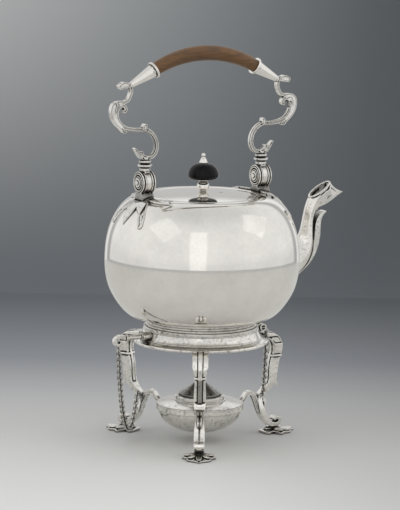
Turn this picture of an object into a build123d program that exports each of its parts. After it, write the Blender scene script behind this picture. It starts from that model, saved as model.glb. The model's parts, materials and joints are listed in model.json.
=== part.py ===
from build123d import *
import math
import os

# A silver tea kettle on its three-legged lamp stand, in millimetres.
# Origin: centre of the stand on the table. +Z is up, +X points to the spout.

# Stand ring and the kettle's seat
RING_SEAT_Z = 103.4
RING_SEAT_R = 50.0
RING_LEDGE = 6.5
RING_FLANGE = 1.5
RING_SPLAY = 7.3
RING_H = 13.8
RING_WALL = 1.3
RING_BEAD_R = 1.5
SEAT_GAP = 0.1

# Kettle body
BODY_R = 85.0
BODY_BELOW_H = 49.5
BODY_ABOVE_H = 56.9
BODY_WALL = 1.2
BASE_LIP = 0.4
FOOT_SET = 1.4
FOOT_H = 7.95
FOOT_WALL = 2.2
FOOT_LINE = 1.4

# Lid
LID_R = 46.6
LID_CROWN = 2.8
LID_SHEET = 1.0
LID_GAP = 0.3
RIM_LEDGE = 3.6
RIM_DEPTH = 6.0
SKIRT_DEPTH = 8.0
SKIRT_WALL = 0.9
VENT_R = 1.1
VENT_X = 13.0
VENT_Y = -8.6

# Knob
KNOB_BALL_R = 5.5
KNOB_BALL_H = 8.6
KNOB_COLLAR_R = 5.0
KNOB_COLLAR_H = 2.2
KNOB_WOOD_R = 13.5
KNOB_WOOD_H = 14.2
KNOB_WASHER_R = 3.6
KNOB_WASHER_H = 4.2
KNOB_FINIAL_R = 1.8
SCREW_R = 1.5
NUT_R = 4.2
NUT_H = 2.4
PIN_FIT = 0.05

# Handle hinges on the shoulder
BRACKET_SET = 11.1
HINGE_RISE = 14.1
PEDESTAL_SINK = 12.9
PEDESTAL_FOOT_W = 17.0
PEDESTAL_W = 12.0
PEDESTAL_WAIST_W = 9.0
DRUM_R = 9.2
TONGUE_R = 8.8
TONGUE_W = 4.8
CHEEK_W = 3.3
CHEEK_GAP = 0.3
HANDLE_PIN_R = 2.0
LEAF_H = 1.7
HANDLE_PIN_HEAD_H = 1.1

# Handle arms, ferrules and grip
NECK_R = 6.2
NECK_H = 11.0
ARM_SWING = 22.0
ARM_STRAP = 2.6
ARM_RIB = 0.5
ARM_W = 5.0
ARM_RIB_W = 1.8
GRIP_ABOVE = 109.5
GRIP_RISE = 12.5
GRIP_HALF = 49.5
GRIP_MID_R = 6.7
GRIP_END_R = 5.6
FERRULE_L = 26.0
FERRULE_BIG_R = 6.4
FERRULE_SMALL_R = 2.7
FERRULE_BEAD = 1.0
SPIGOT_R = 4.4
SPIGOT_L = 7.0
FERRULE_PIN_R = 0.8

# Spout
SPOUT_WALL = 1.1
SPOUT_ROOT_W = 20.0
SPOUT_TIP_W = 13.0

# Front hinge and its pin
HINGE_IN = 0.3
KNUCKLE_R = 3.3
KNUCKLE_DROP = 5.4
KNUCKLE_W = 8.0
KNUCKLE_SIDE_W = 5.4
KNUCKLE_GAP = 0.25
HINGE_PIN_R = 1.8
PIN_HEAD_H = 1.8
EYE_SINK = 0.5

# Rear lock pin, its guide and the kettle's catch
LOCK_DROP = 6.2
LOCK_PIN_R = 2.2
LOCK_GUIDE_R = 3.8
LOCK_GUIDE_REACH = 2.7
LOCK_PIN_REACH = 17.0
LOCK_TIP_GAP = 1.5
CATCH_IN = 0.6
CATCH_T = 3.2
CATCH_W = 9.0

# Legs and feet
LEG_AZIMUTHS = {"spout": 0.0, "rear": 120.0, "front": 240.0}
LEG_TOP_W = 14.0
LEG_PANEL_W = 10.0
LEG_WAIST_W = 5.6
LEG_LOW_W = 9.0
LEG_RIB = 0.6
LEG_RIB_W = 3.4
PANEL_LINE_H = 1.5
PAD_SET = 7.3
PAD_L = 33.2
PAD_W = 29.0
PAD_EDGE_H = 1.4
PAD_CROWN_H = 6.4

# Lamp and its cradle
CRADLE_BAND = 1.9
CRADLE_H = 3.4
CRADLE_Z = 29.0
CRADLE_GAP = 0.3
LAMP_R = 36.2
LAMP_WALL = 0.9
LAMP_BASE_Z = 8.0
LAMP_FLANGE = 1.2
COLLAR_R = 21.7
COLLAR_H = 4.6
COVER_RISE = 3.0
WICK_TUBE_R = 4.6
WICK_TUBE_WALL = 0.7
WICK_TUBE_DIP = 16.0
WICK_TUBE_RISE = 3.4
WICK_R = 3.6
CAP_R = 18.6
CAP_H = 11.0
CAP_WALL = 0.9
CAP_STEPS = 4
CAP_KNOB_R = 2.4

# Chains
LINK_PITCH = 2.9
LINK_WIRE = 0.7
LINK_W = 3.2
LINK_PLAY = 0.25
LOCK_CHAIN_SLACK = 1.58
HINGE_CHAIN_SLACK = 1.001
STAPLE_WIRE = 0.8
STAPLE_R = 2.2
STAPLE_OUT = 3.3
STAPLE_UP = 0.365

# Places that follow from these sizes
ring_opening_r = RING_SEAT_R - RING_LEDGE
ring_foot_r = RING_SEAT_R + RING_SPLAY
ring_foot_z = RING_SEAT_Z - RING_H
foot_r = RING_SEAT_R - FOOT_SET
kettle_foot_z = RING_SEAT_Z + SEAT_GAP
base_r = foot_r + BASE_LIP
base_z = kettle_foot_z + FOOT_H + SEAT_GAP / 2
wide_z = base_z + BODY_BELOW_H
shoulder_z = wide_z + BODY_ABOVE_H
lid_seat_r = LID_R + LID_GAP
handle_x = lid_seat_r + BRACKET_SET
handle_z = shoulder_z + HINGE_RISE
grip_top_z = handle_z + GRIP_ABOVE

os.makedirs("parts", exist_ok=True)


def save(shape, name):
    export_step(shape, f"parts/{name}.step")
    return shape


def turned(*edges):
    """Solid turned round the vertical axis from a closed outline of (radius, height) edges."""
    return revolve(Plane.XZ * make_face(edges), Axis.Z)


def turned_points(points):
    """Solid turned round the vertical axis from a polygon of (radius, height) corners."""
    return revolve(Plane.XZ * make_face(Polyline(*points, close=True)), Axis.Z)


def x_rod(radius, start, end, y, z):
    """Round rod along X."""
    plane = Plane((min(start, end), y, z), x_dir=(0, 1, 0), z_dir=(1, 0, 0))
    return extrude(plane * Circle(radius), abs(end - start))


def y_rod(radius, start, end, x, z):
    """Round rod along Y."""
    plane = Plane((x, max(start, end), z), z_dir=(0, -1, 0))
    return extrude(plane * Circle(radius), abs(end - start))


def upright(face, width):
    """Face drawn in (radius, height), thickened by width about the XZ plane."""
    return extrude(Plane.XZ * face, width / 2, both=True)


def ribbon(points, widths):
    """Strap outline along a smooth line through the points, with its width at each point."""
    runs = [math.dist(a, b) for a, b in zip(points, points[1:])]
    places = [sum(runs[:i]) / sum(runs) for i in range(len(points))]
    line = Edge.make_spline([Vector(*point) for point in points], parameters=places)
    left, right = [], []
    for i in range(len(points) - 1):
        for share in (0.0, 0.5):
            t = places[i] + share * (places[i + 1] - places[i])
            half = (widths[i] + share * (widths[i + 1] - widths[i])) / 2
            side_points(line, t, half, left, right)
    side_points(line, 1.0, widths[-1] / 2, left, right)
    sides = [Spline(*left), Line(left[-1], right[-1]), Spline(*right[::-1]), Line(right[0], left[0])]
    return make_face(sides)


def side_points(line, t, half, left, right):
    here, ahead = line @ t, line % t
    left.append((here.X - ahead.Y * half, here.Y + ahead.X * half))
    right.append((here.X + ahead.Y * half, here.Y - ahead.X * half))


def around(shape, azimuth):
    return Rot(0, 0, azimuth) * shape


# Kettle body and foot

BELLY_BELOW = [(0.40, 0.036), (0.67, 0.23), (0.90, 0.53)]
BELLY_ABOVE = [(0.94, 0.41), (0.71, 0.77), (0.47, 0.935)]
leg_rise = ring_foot_z - PAD_CROWN_H


def belly_line(grow):
    """Outer line of the kettle from its base to the lid's seat, moved outwards by grow."""
    points = [(base_r, base_z)]
    for out, up in BELLY_BELOW:
        radius = base_r + out * (BODY_R - base_r)
        points.append((radius, base_z + up * (wide_z - base_z)))
    points.append((BODY_R, wide_z))
    for out, up in BELLY_ABOVE:
        radius = lid_seat_r + out * (BODY_R - lid_seat_r)
        points.append((radius, wide_z + up * (shoulder_z - wide_z)))
    points.append((lid_seat_r, shoulder_z))
    line = Spline(*points)
    if grow == 0:
        return line
    outside, inside = [], []
    for step in range(17):
        side_points(line, step / 16, abs(grow), inside, outside)
    return Spline(*(outside if grow > 0 else inside))


def kettle_form(grow):
    """The kettle's outside as one filled solid, grown by a clearance or a cast leaf's height."""
    line = belly_line(grow)
    low, high = line @ 0, line @ 1
    return turned(
        line,
        Line((high.X, high.Y), (0, high.Y)),
        Line((0, high.Y), (0, low.Y)),
        Line((0, low.Y), (low.X, low.Y)),
    )


def make_kettle_shell():
    outer, inner = belly_line(0), belly_line(-BODY_WALL)
    low, high = inner @ 0, inner @ 1
    floor_z = base_z + BODY_WALL
    shell = turned(
        outer,
        Line((lid_seat_r, shoulder_z), (high.X, high.Y)),
        inner,
        Polyline((low.X, low.Y), (low.X - BODY_WALL, floor_z), (0, floor_z), (0, base_z)),
        Line((0, base_z), (base_r, base_z)),
    )
    return shell - spout_form(0, -BODY_WALL)


def shell_half(shell, side):
    """The shell below its widest line (-1) or above it (1), where its two raised halves are joined."""
    reach = BODY_BELOW_H + BODY_ABOVE_H
    return shell & Pos(0, 0, wide_z + side * reach / 2) * Box(3 * BODY_R, 3 * BODY_R, reach)


def make_kettle_foot():
    """Drawn collet foot with two turned lines, which sits on the stand ring."""
    inside = foot_r - FOOT_WALL
    waist = foot_r - FOOT_LINE
    steps = [(foot_r, 0), (foot_r, 0.2), (waist, 0.3), (waist, 0.48), (foot_r - 0.5, 0.58)]
    steps += [(foot_r - 0.5, 0.78), (waist + 0.3, 0.86), (foot_r, 1), (inside, 1), (inside, 0)]
    return turned_points([(r, kettle_foot_z + share * FOOT_H) for r, share in steps])


# Lid and knob

lid_edge_z = shoulder_z - LID_SHEET
ledge_z = lid_edge_z - SEAT_GAP
skirt_r = lid_seat_r - RIM_LEDGE - LID_GAP
lid_top_z = shoulder_z + LID_CROWN


def lid_arc(drop):
    side = ThreePointArc((LID_R, 0), (0, LID_CROWN), (-LID_R, 0))
    middle, edge = (0, lid_top_z - drop), (LID_R, shoulder_z - drop)
    half = side @ 0.25
    return ThreePointArc(edge, (half.X, shoulder_z - drop + half.Y), middle)


def make_kettle_rim():
    """Ring inside the mouth that the lid rests on."""
    outside, inside = (belly_line(-BODY_WALL) @ 1).X - PIN_FIT, lid_seat_r - RIM_LEDGE
    thick = BODY_WALL
    return turned_points([
        (inside, ledge_z), (outside, ledge_z), (outside, ledge_z - thick), (inside + thick, ledge_z - thick),
        (inside + thick, ledge_z - RIM_DEPTH), (inside, ledge_z - RIM_DEPTH),
    ])


def make_lid_plate():
    plate = turned(
        lid_arc(0),
        Line((0, lid_top_z), (0, lid_top_z - LID_SHEET)),
        lid_arc(LID_SHEET),
        Line((LID_R, lid_edge_z), (LID_R, shoulder_z)),
    )
    shank = Pos(0, 0, shoulder_z) * Cylinder(SCREW_R + PIN_FIT, 4 * LID_CROWN)
    vent = Pos(VENT_X, VENT_Y, shoulder_z) * Cylinder(VENT_R, 4 * LID_CROWN)
    return plate - shank - vent


def make_lid_skirt():
    top = lid_top_z
    band = turned_points([
        (skirt_r - SKIRT_WALL, lid_edge_z - SKIRT_DEPTH), (skirt_r, lid_edge_z - SKIRT_DEPTH),
        (skirt_r, top), (skirt_r - SKIRT_WALL, top),
    ])
    above = turned(
        lid_arc(LID_SHEET),
        Line((0, lid_top_z - LID_SHEET), (0, top + 1)),
        Polyline((0, top + 1), (LID_R, top + 1), (LID_R, lid_edge_z)),
    )
    return band - above


knob_ball_z = lid_top_z + SEAT_GAP / 2
knob_collar_z = knob_ball_z + KNOB_BALL_H
knob_wood_z = knob_collar_z + KNOB_COLLAR_H + SEAT_GAP / 2
knob_washer_z = knob_wood_z + KNOB_WOOD_H + SEAT_GAP / 2
knob_finial_z = knob_washer_z + KNOB_WASHER_H + SEAT_GAP / 2


def make_knob_stem():
    """Silver ball and collar on the screwed rod that holds the whole knob to the lid."""
    foot, waist = 0.09 * KNOB_BALL_H, 0.45 * KNOB_BALL_R
    low = (waist, knob_ball_z + foot)
    high = (waist, knob_collar_z)
    wide = (KNOB_BALL_R, (low[1] + high[1]) / 2)
    ball = turned(
        Polyline((0, knob_ball_z), (KNOB_COLLAR_R * 0.7, knob_ball_z), low),
        ThreePointArc(low, wide, high),
        Polyline(high, (KNOB_COLLAR_R * 0.8, knob_collar_z + 0.3 * KNOB_COLLAR_H),
                 (KNOB_COLLAR_R, knob_collar_z + 0.6 * KNOB_COLLAR_H),
                 (KNOB_COLLAR_R, knob_collar_z + KNOB_COLLAR_H), (0, knob_collar_z + KNOB_COLLAR_H)),
        Line((0, knob_collar_z + KNOB_COLLAR_H), (0, knob_ball_z)),
    )
    low_end = knob_ball_z - LID_SHEET - 1.5 * NUT_H
    rod = Pos(0, 0, low_end) * extrude(Circle(SCREW_R), knob_finial_z - SEAT_GAP - low_end)
    return ball + rod


def make_knob_nut():
    nut = extrude(RegularPolygon(NUT_R, 6), NUT_H) - extrude(Circle(SCREW_R + PIN_FIT), NUT_H)
    return Pos(0, 0, lid_top_z - LID_SHEET - SEAT_GAP / 2 - NUT_H) * nut


def make_knob_wood():
    """Turned ebony dome."""
    bore, base, top = SCREW_R + PIN_FIT, knob_wood_z, knob_wood_z + KNOB_WOOD_H
    belly_z = base + 0.27 * KNOB_WOOD_H
    crown = (KNOB_WASHER_R + 0.6, top)
    return turned(
        Polyline((bore, top), (bore, base), (0.74 * KNOB_WOOD_R, base)),
        ThreePointArc((0.74 * KNOB_WOOD_R, base), (0.93 * KNOB_WOOD_R, base + 0.09 * KNOB_WOOD_H),
                      (KNOB_WOOD_R, belly_z)),
        ThreePointArc((KNOB_WOOD_R, belly_z), (0.8 * KNOB_WOOD_R, base + 0.76 * KNOB_WOOD_H), crown),
        Line(crown, (bore, top)),
    )


def make_knob_washer():
    bore = SCREW_R + PIN_FIT
    return turned_points([
        (bore, knob_washer_z), (KNOB_WASHER_R, knob_washer_z),
        (KNOB_WASHER_R, knob_washer_z + 0.2 * KNOB_WASHER_H),
        (bore + 0.5, knob_washer_z + KNOB_WASHER_H), (bore, knob_washer_z + KNOB_WASHER_H),
    ])


def make_knob_finial():
    stem = 0.55 * KNOB_FINIAL_R
    centre = knob_finial_z + 0.8 + KNOB_FINIAL_R
    rise = math.sqrt(KNOB_FINIAL_R ** 2 - stem ** 2)
    return turned(
        Polyline((0, knob_finial_z), (1.1 * KNOB_FINIAL_R, knob_finial_z), (stem, centre - rise)),
        ThreePointArc((stem, centre - rise), (KNOB_FINIAL_R, centre), (0, centre + KNOB_FINIAL_R)),
        Line((0, centre + KNOB_FINIAL_R), (0, knob_finial_z)),
    )


# Spout. Its places are (out, up) from the widest line of the kettle's body.

SPOUT_SECTIONS = [
    # (out, up, lean from upright in degrees, depth, width as a share of the root's)
    (-3.5, -11.0, 72.0, 31.0, 1.0),
    (15.5, 0.5, 48.0, 24.0, 0.86),
    (21.8, 16.5, 20.0, 14.0, 0.64),
    (23.2, 30.0, 10.0, 10.6, 0.56),
    (27.6, 42.0, 8.0, 13.0, 0.60),
    (34.5, 54.6, -33.0, 22.0, 0.66),
]
BEAK_TIP = (59.0, 51.6)


def eight_sided(depth, width):
    """Ridged section of the spout: depth along local X, width along local Y."""
    corner = 0.3
    a, b = depth / 2, width / 2
    points = [(a, -b * corner), (a, b * corner), (a * corner, b), (-a * corner, b)]
    points += [(-a, b * corner), (-a, -b * corner), (-a * corner, -b), (a * corner, -b)]
    return make_face(Polyline(*points, close=True))


def spout_points(places):
    return [(BODY_R + out, wide_z + up) for out, up in places]


def spout_plane(out, up, lean):
    turn = math.radians(lean)
    return Plane((BODY_R + out, 0, wide_z + up), x_dir=(math.cos(turn), 0, -math.sin(turn)),
                 z_dir=(math.sin(turn), 0, math.cos(turn)))


def spout_form(first, grow):
    """The spout's body from its first section to the mouth, grown by a clearance or a wall."""
    faces = []
    for out, up, lean, depth, share in SPOUT_SECTIONS[first:]:
        width = share * SPOUT_ROOT_W
        faces.append(spout_plane(out, up, lean) * eight_sided(depth + 2 * grow, width + 2 * grow))
    return loft(faces)


def make_spout():
    """Cast swan neck: hollow, with a leaf curling out under the throat, a rimmed mouth and a beak."""
    body = spout_form(0, 0)
    leaf_line = spout_points([(1.0, -24.0), (13.0, -16.4), (23.8, -6.6), (28.9, 4.0), (30.9, 16.0),
                              (32.0, 27.0), (35.4, 33.2), (39.6, 35.6)])
    leaf = upright(ribbon(leaf_line, [3.0, 3.2, 3.6, 5.0, 6.0, 5.0, 3.0, 1.4]), 0.4 * SPOUT_ROOT_W)
    out, up, lean, depth, share = SPOUT_SECTIONS[-1]
    mouth = spout_plane(out, up, lean)
    width = share * SPOUT_ROOT_W
    rim = mouth * Pos(0, 0, -0.9) * extrude(eight_sided(depth + 1.8, width + 1.8), 1.5)
    throat = spout_form(0, -SPOUT_WALL)
    drain = mouth * extrude(eight_sided(depth - 2 * SPOUT_WALL, width - 2 * SPOUT_WALL), 4)
    return body + leaf + make_beak() + rim - throat - drain - beak_channel() - kettle_form(SEAT_GAP / 2)


def make_beak():
    """Pointed pouring lip that runs on from the front of the mouth."""
    heel, throat = (32.5, 41.0), (43.4, 60.4)
    tip = spout_points([BEAK_TIP])[0]
    under = Spline(*spout_points([heel, (41.5, 44.2), (50.5, 48.4), BEAK_TIP]))
    over = Spline(*spout_points([BEAK_TIP, (52.0, 54.2), (47.0, 57.0), throat]))
    side = make_face([under, over, Line(*spout_points([throat, heel]))])
    back = BODY_R + heel[0] - 3.5
    reach = tip[0] - back
    plan = ribbon([(back, 0), (back + 0.4 * reach, 0), (back + 0.73 * reach, 0), (tip[0] + 0.3, 0)],
                  [SPOUT_TIP_W + 0.4, 0.89 * SPOUT_TIP_W, 0.49 * SPOUT_TIP_W, 0.11 * SPOUT_TIP_W])
    outline = Pos(0, 0, wide_z) * extrude(plan, 2 * throat[1])
    return upright(side, SPOUT_TIP_W + 1) & outline


def beak_channel():
    """Trough cut along the top of the beak, from the mouth to the tip."""
    (start_x, start_z), (end_x, end_z) = spout_points([(36.0, 60.4), (BEAK_TIP[0] + 4, BEAK_TIP[1] + 2.6)])
    run = Vector(end_x - start_x, 0, end_z - start_z)
    plane = Plane((start_x, 0, start_z), x_dir=(0, 1, 0), z_dir=run)
    return loft([plane * Circle(0.29 * SPOUT_TIP_W), plane.offset(run.length) * Circle(0.12 * SPOUT_TIP_W)])


# Shoulder brackets and the handle's hinges

cheek_in = TONGUE_W / 2 + CHEEK_GAP
cheek_out = cheek_in + CHEEK_W
bracket_floor_z = handle_z - TONGUE_R - CHEEK_GAP


# Cast leaves of a bracket: (direction in degrees, length, width)
BRACKET_LEAVES = [(0, 21.0, 12.0), (50, 21.0, 9.0), (-50, 21.0, 9.0), (100, 34.0, 9.0), (-100, 34.0, 9.0)]


def leaf_outline(length, width):
    """Pointed leaf lying along +X from the origin."""
    tip, side = (length, 0), width / 2
    return make_face([ThreePointArc((0, 0), (0.45 * length, side), tip),
                      ThreePointArc(tip, (0.45 * length, -side), (0, 0))])


def make_shoulder_bracket():
    """Two ringed cheeks on a waisted pedestal, over cast leaves that hug the shoulder."""
    cheeks = Part()
    for side in (-1, 1):
        inner, outer = handle_x + side * cheek_in, handle_x + side * cheek_out
        cheeks += x_rod(DRUM_R, inner, outer, 0, handle_z)
        groove_x = handle_x + side * (cheek_out - 0.7)
        groove = x_rod(0.72 * DRUM_R, groove_x, outer + side, 0, handle_z)
        cheeks -= groove - x_rod(0.5 * DRUM_R, groove_x, outer + side, 0, handle_z)
    waist = ribbon([(0, shoulder_z - PEDESTAL_SINK), (0, bracket_floor_z - PEDESTAL_WAIST_W / 3),
                    (0, bracket_floor_z), (0, handle_z - PEDESTAL_WAIST_W / 3)],
                   [PEDESTAL_FOOT_W, PEDESTAL_W, PEDESTAL_WAIST_W, PEDESTAL_W])
    pedestal = Pos(handle_x - cheek_out, 0, 0) * extrude(Plane.YZ * waist, 2 * cheek_out)
    tall = handle_z - bracket_floor_z + DRUM_R
    slot = Pos(handle_x, 0, bracket_floor_z + tall / 2) * Box(2 * cheek_in, 3 * DRUM_R, tall)
    leaves = Part()
    for angle, length, width in BRACKET_LEAVES:
        outline = Pos(handle_x, 0) * Rot(0, 0, angle) * leaf_outline(length, width)
        leaves += Pos(0, 0, wide_z) * extrude(outline, 2 * BODY_ABOVE_H)
    leaves = leaves & kettle_form(LEAF_H)
    bore = x_rod(HANDLE_PIN_R + PIN_FIT, handle_x - 2 * cheek_out, handle_x + 2 * cheek_out, 0, handle_z)
    return cheeks + (pedestal - slot) + leaves - bore - kettle_form(SEAT_GAP / 2)


def make_handle_pin():
    """Riveted hinge pin with a ringed head on each end."""
    shaft = x_rod(HANDLE_PIN_R, handle_x - cheek_out, handle_x + cheek_out, 0, handle_z)
    for side in (-1, 1):
        face = handle_x + side * (cheek_out + SEAT_GAP)
        end = face + side * HANDLE_PIN_HEAD_H
        shaft += x_rod(HANDLE_PIN_R, handle_x, face, 0, handle_z)
        shaft += x_rod(0.44 * DRUM_R, face, end, 0, handle_z)
        shaft += x_rod(0.2 * DRUM_R, end, end + side * 0.7, 0, handle_z)
    return shaft


# Handle

grip_end_z = grip_top_z - GRIP_RISE
grip_arc = ThreePointArc((-GRIP_HALF, grip_end_z), (0, grip_top_z), (GRIP_HALF, grip_end_z))


def grip_plane(t):
    here, ahead = grip_arc @ t, grip_arc % t
    return Plane((here.X, 0, here.Y), x_dir=(0, 1, 0), z_dir=(ahead.X, 0, ahead.Y))


ferrule_plane = grip_plane(1)
arm_top = ferrule_plane.offset(FERRULE_L + 0.6 * ARM_STRAP).origin
neck_top_z = handle_z + DRUM_R + CHEEK_GAP + NECK_H


def arm_points(shares):
    """Places on the arm from (share of its height, share of its swing) off the neck-to-ferrule line."""
    points = []
    for up, out in shares:
        x = handle_x + up * (arm_top.X - handle_x) + out * ARM_SWING
        points.append((x, neck_top_z + up * (arm_top.Z - neck_top_z)))
    return points


# From the eye of the upper scroll, round its inside, along the bar and round the lower scroll
ARM_INNER = [(0.66, 0.54), (0.68, 0.43), (0.73, 0.46), (0.735, 0.62), (0.68, 0.80), (0.60, 0.88),
             (0.51, 0.83), (0.44, 0.64), (0.41, 0.37), (0.40, 0.03), (0.40, -0.25), (0.36, -0.47),
             (0.28, -0.61), (0.19, -0.63), (0.09, -0.52), (0.03, -0.34), (0.01, -0.10), (0.04, 0.09),
             (0.10, 0.12)]
# From the ferrule down the small scroll and round the outside of the upper one
ARM_OUTER = [(0.99, 0.01), (0.92, 0.02), (0.86, 0.11), (0.80, 0.27), (0.78, 0.46), (0.77, 0.68),
             (0.74, 0.88), (0.67, 0.99), (0.57, 1.01), (0.48, 0.91), (0.42, 0.78), (0.38, 0.70),
             (0.39, 0.60)]
ARM_LEAF = [(0.01, -0.05), (0.03, 0.20), (0.09, 0.30), (0.15, 0.40)]
ARM_KNOB_LEAF = [(1.0, 0.04), (1.01, 0.27), (0.98, 0.50)]
ARM_NODE = [(0.39, -0.19), (0.43, -0.25), (0.475, -0.31)]


def make_handle_arm():
    """Cast double-scroll arm with its ringed neck and hinge tongue."""
    strap, rib = ARM_STRAP, ARM_STRAP + 2 * ARM_RIB
    outer_widths = [strap] * 5 + [1.5 * strap, 1.8 * strap, 1.9 * strap, 1.7 * strap, 1.3 * strap,
                    strap, 0.8 * strap, 0.6 * strap]
    arm = upright(ribbon(arm_points(ARM_INNER), [strap] * len(ARM_INNER)), ARM_W)
    arm += upright(ribbon(arm_points(ARM_INNER[5:16]), [rib] * 11), ARM_RIB_W)
    arm += upright(ribbon(arm_points(ARM_OUTER), outer_widths), ARM_W)
    arm += upright(ribbon(arm_points(ARM_LEAF), [strap, 1.2 * strap, strap, 0.5 * strap]), ARM_W)
    arm += upright(ribbon(arm_points(ARM_KNOB_LEAF), [strap, 2.2 * strap, 1.5 * strap]), 1.3 * ARM_W)
    arm += upright(ribbon(arm_points(ARM_NODE), [1.6 * strap, 1.5 * strap, 0.7 * strap]), 1.2 * ARM_W)
    boss = extrude(ferrule_plane.offset(FERRULE_L) * Circle(FERRULE_SMALL_R), 1.3 * ARM_STRAP)
    return arm + boss + make_neck() + make_tongue() - ferrule_form()


def make_neck():
    base = handle_z + DRUM_R + CHEEK_GAP
    stages = [(0.45, 0), (0.75, 0.04), (0.75, 0.24), (0.55, 0.32), (1.0, 0.40), (1.0, 0.54), (0.6, 0.58),
              (0.6, 0.68), (0.85, 0.72), (0.85, 0.84), (0.5, 0.9), (0.5, 1.12)]
    points = [(share * NECK_R, base + up * NECK_H) for share, up in stages]
    closed = points + [(0, points[-1][1]), (0, base)]
    return Pos(handle_x, 0, 0) * turned_points(closed)


def make_tongue():
    disc = x_rod(TONGUE_R, handle_x - TONGUE_W / 2, handle_x + TONGUE_W / 2, 0, handle_z)
    stalk_top = handle_z + DRUM_R + CHEEK_GAP
    stalk = Pos(handle_x, 0, (handle_z + stalk_top) / 2) * Box(TONGUE_W, 2 * 0.7 * NECK_R, stalk_top - handle_z)
    bore = x_rod(HANDLE_PIN_R + PIN_FIT, handle_x - TONGUE_W, handle_x + TONGUE_W, 0, handle_z)
    return disc + stalk - bore


def ferrule_form():
    """Eight-sided tapering socket, as a filled solid."""
    small = ferrule_plane.offset(FERRULE_L)
    cone = loft([ferrule_plane * RegularPolygon(FERRULE_BIG_R, 8), small * RegularPolygon(FERRULE_SMALL_R, 8)])
    bead = extrude(ferrule_plane * Circle(FERRULE_BIG_R + FERRULE_BEAD), 2 * FERRULE_BEAD)
    return cone + bead


def ferrule_pin_rod(radius):
    middle = ferrule_plane.offset(0.55 * SPIGOT_L).origin
    reach = FERRULE_BIG_R - 0.6
    return y_rod(radius, -reach, reach, middle.X, middle.Z)


def make_ferrule():
    socket = extrude(ferrule_plane * Circle(SPIGOT_R + PIN_FIT), SPIGOT_L + LID_GAP)
    return ferrule_form() - socket - ferrule_pin_rod(FERRULE_PIN_R + PIN_FIT)


def make_grip():
    """Bowed wooden grip, fuller in the middle, with a round spigot on each end."""
    faces = []
    for step in range(9):
        t = step / 8
        radius = GRIP_END_R + (GRIP_MID_R - GRIP_END_R) * (1 - (2 * t - 1) ** 2)
        faces.append(grip_plane(t) * Circle(radius))
    grip = loft(faces)
    hole = ferrule_pin_rod(FERRULE_PIN_R + PIN_FIT)
    spigot = extrude(ferrule_plane * Circle(SPIGOT_R), SPIGOT_L) - hole
    gap = extrude(ferrule_plane * Circle(2 * GRIP_MID_R), SEAT_GAP, both=True)
    cut = gap - extrude(ferrule_plane * Circle(SPIGOT_R), SEAT_GAP, both=True)
    return grip - cut - mirror(cut, Plane.YZ) + spigot + mirror(spigot, Plane.YZ)


# Where the chains end, on rings at the waists of two legs

# How far the end of a link's share of the chain lies past the middle of the wire it hooks
hook_reach = STAPLE_WIRE / 2 + LINK_PLAY / 2


def staple_place(side):
    return (ring_foot_r + STAPLE_OUT, side * (LEG_WAIST_W / 2 + STAPLE_R - 0.6),
            PAD_CROWN_H + STAPLE_UP * leg_rise)


def chain_end(side, azimuth, approach):
    """Where a chain's last link hooks the staple's outer wire, from above (1) or below (-1)."""
    x, y, z = staple_place(side)
    y = y + side * (STAPLE_R - STAPLE_WIRE / 2)
    z = z - approach * hook_reach
    turn = math.radians(azimuth)
    return (x * math.cos(turn) - y * math.sin(turn), x * math.sin(turn) + y * math.cos(turn), z)


hinge_chain_end = chain_end(-1, LEG_AZIMUTHS["spout"], 1)
lock_chain_end = chain_end(1, LEG_AZIMUTHS["rear"], -1)


# Front hinge, lock pin and the pieces that take them

hinge_x = ring_foot_r - HINGE_IN
hinge_z = RING_SEAT_Z - KNUCKLE_DROP
lock_z = RING_SEAT_Z - LOCK_DROP
lock_guide_out = ring_foot_r + LOCK_GUIDE_REACH
lock_pin_end = lock_guide_out + LOCK_PIN_REACH
catch_out = ring_opening_r - CATCH_IN
knuckle_side_y = KNUCKLE_W / 2 + KNUCKLE_GAP
knuckle_end_y = knuckle_side_y + KNUCKLE_SIDE_W


def make_kettle_hinge_lug():
    arm_line = [(foot_r - 1.0, kettle_foot_z + 3.4), ((foot_r + hinge_x) / 2, kettle_foot_z + 2.9),
                (hinge_x - 0.6, kettle_foot_z - 0.6), (hinge_x + 0.3, hinge_z + 1.0)]
    lug = upright(ribbon(arm_line, [3.4, 3.2, 3.4, 4.2]), KNUCKLE_W)
    lug += y_rod(KNUCKLE_R, -KNUCKLE_W / 2, KNUCKLE_W / 2, hinge_x, hinge_z)
    bore = y_rod(HINGE_PIN_R + PIN_FIT, -KNUCKLE_W, KNUCKLE_W, hinge_x, hinge_z)
    foot_core = Pos(0, 0, kettle_foot_z) * extrude(Circle(foot_r + SEAT_GAP / 2), 3 * KNUCKLE_DROP)
    return lug - bore - foot_core


def make_stand_knuckle(side):
    """Hinge knuckle on a web from the stand ring, on one side of the kettle's lug."""
    foot_x = RING_SEAT_R - 3
    web = make_face(Polyline(
        (foot_x, hinge_z + 2.2), (hinge_x - 1.5, hinge_z + 0.8 * KNUCKLE_R),
        (hinge_x + 1.0, hinge_z - 0.9 * KNUCKLE_R), (foot_x, hinge_z - 5.5), close=True))
    middle = side * (knuckle_side_y + knuckle_end_y) / 2
    knuckle = y_rod(KNUCKLE_R, side * knuckle_side_y, side * knuckle_end_y, hinge_x, hinge_z)
    knuckle += Pos(0, middle, 0) * upright(web, KNUCKLE_SIDE_W)
    bore = y_rod(HINGE_PIN_R + PIN_FIT, -2 * knuckle_end_y, 2 * knuckle_end_y, hinge_x, hinge_z)
    return knuckle - bore - ring_form()


def chain_eye(place, end):
    """Small upright ring that a chain hooks into, its hole towards the chain's other end."""
    away = (end[0] - place[0], end[1] - place[1], 0)
    ring = Circle(STAPLE_R) - Circle(STAPLE_R - STAPLE_WIRE)
    return extrude(Plane(place, z_dir=away) * ring, STAPLE_WIRE / 2, both=True)


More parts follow.
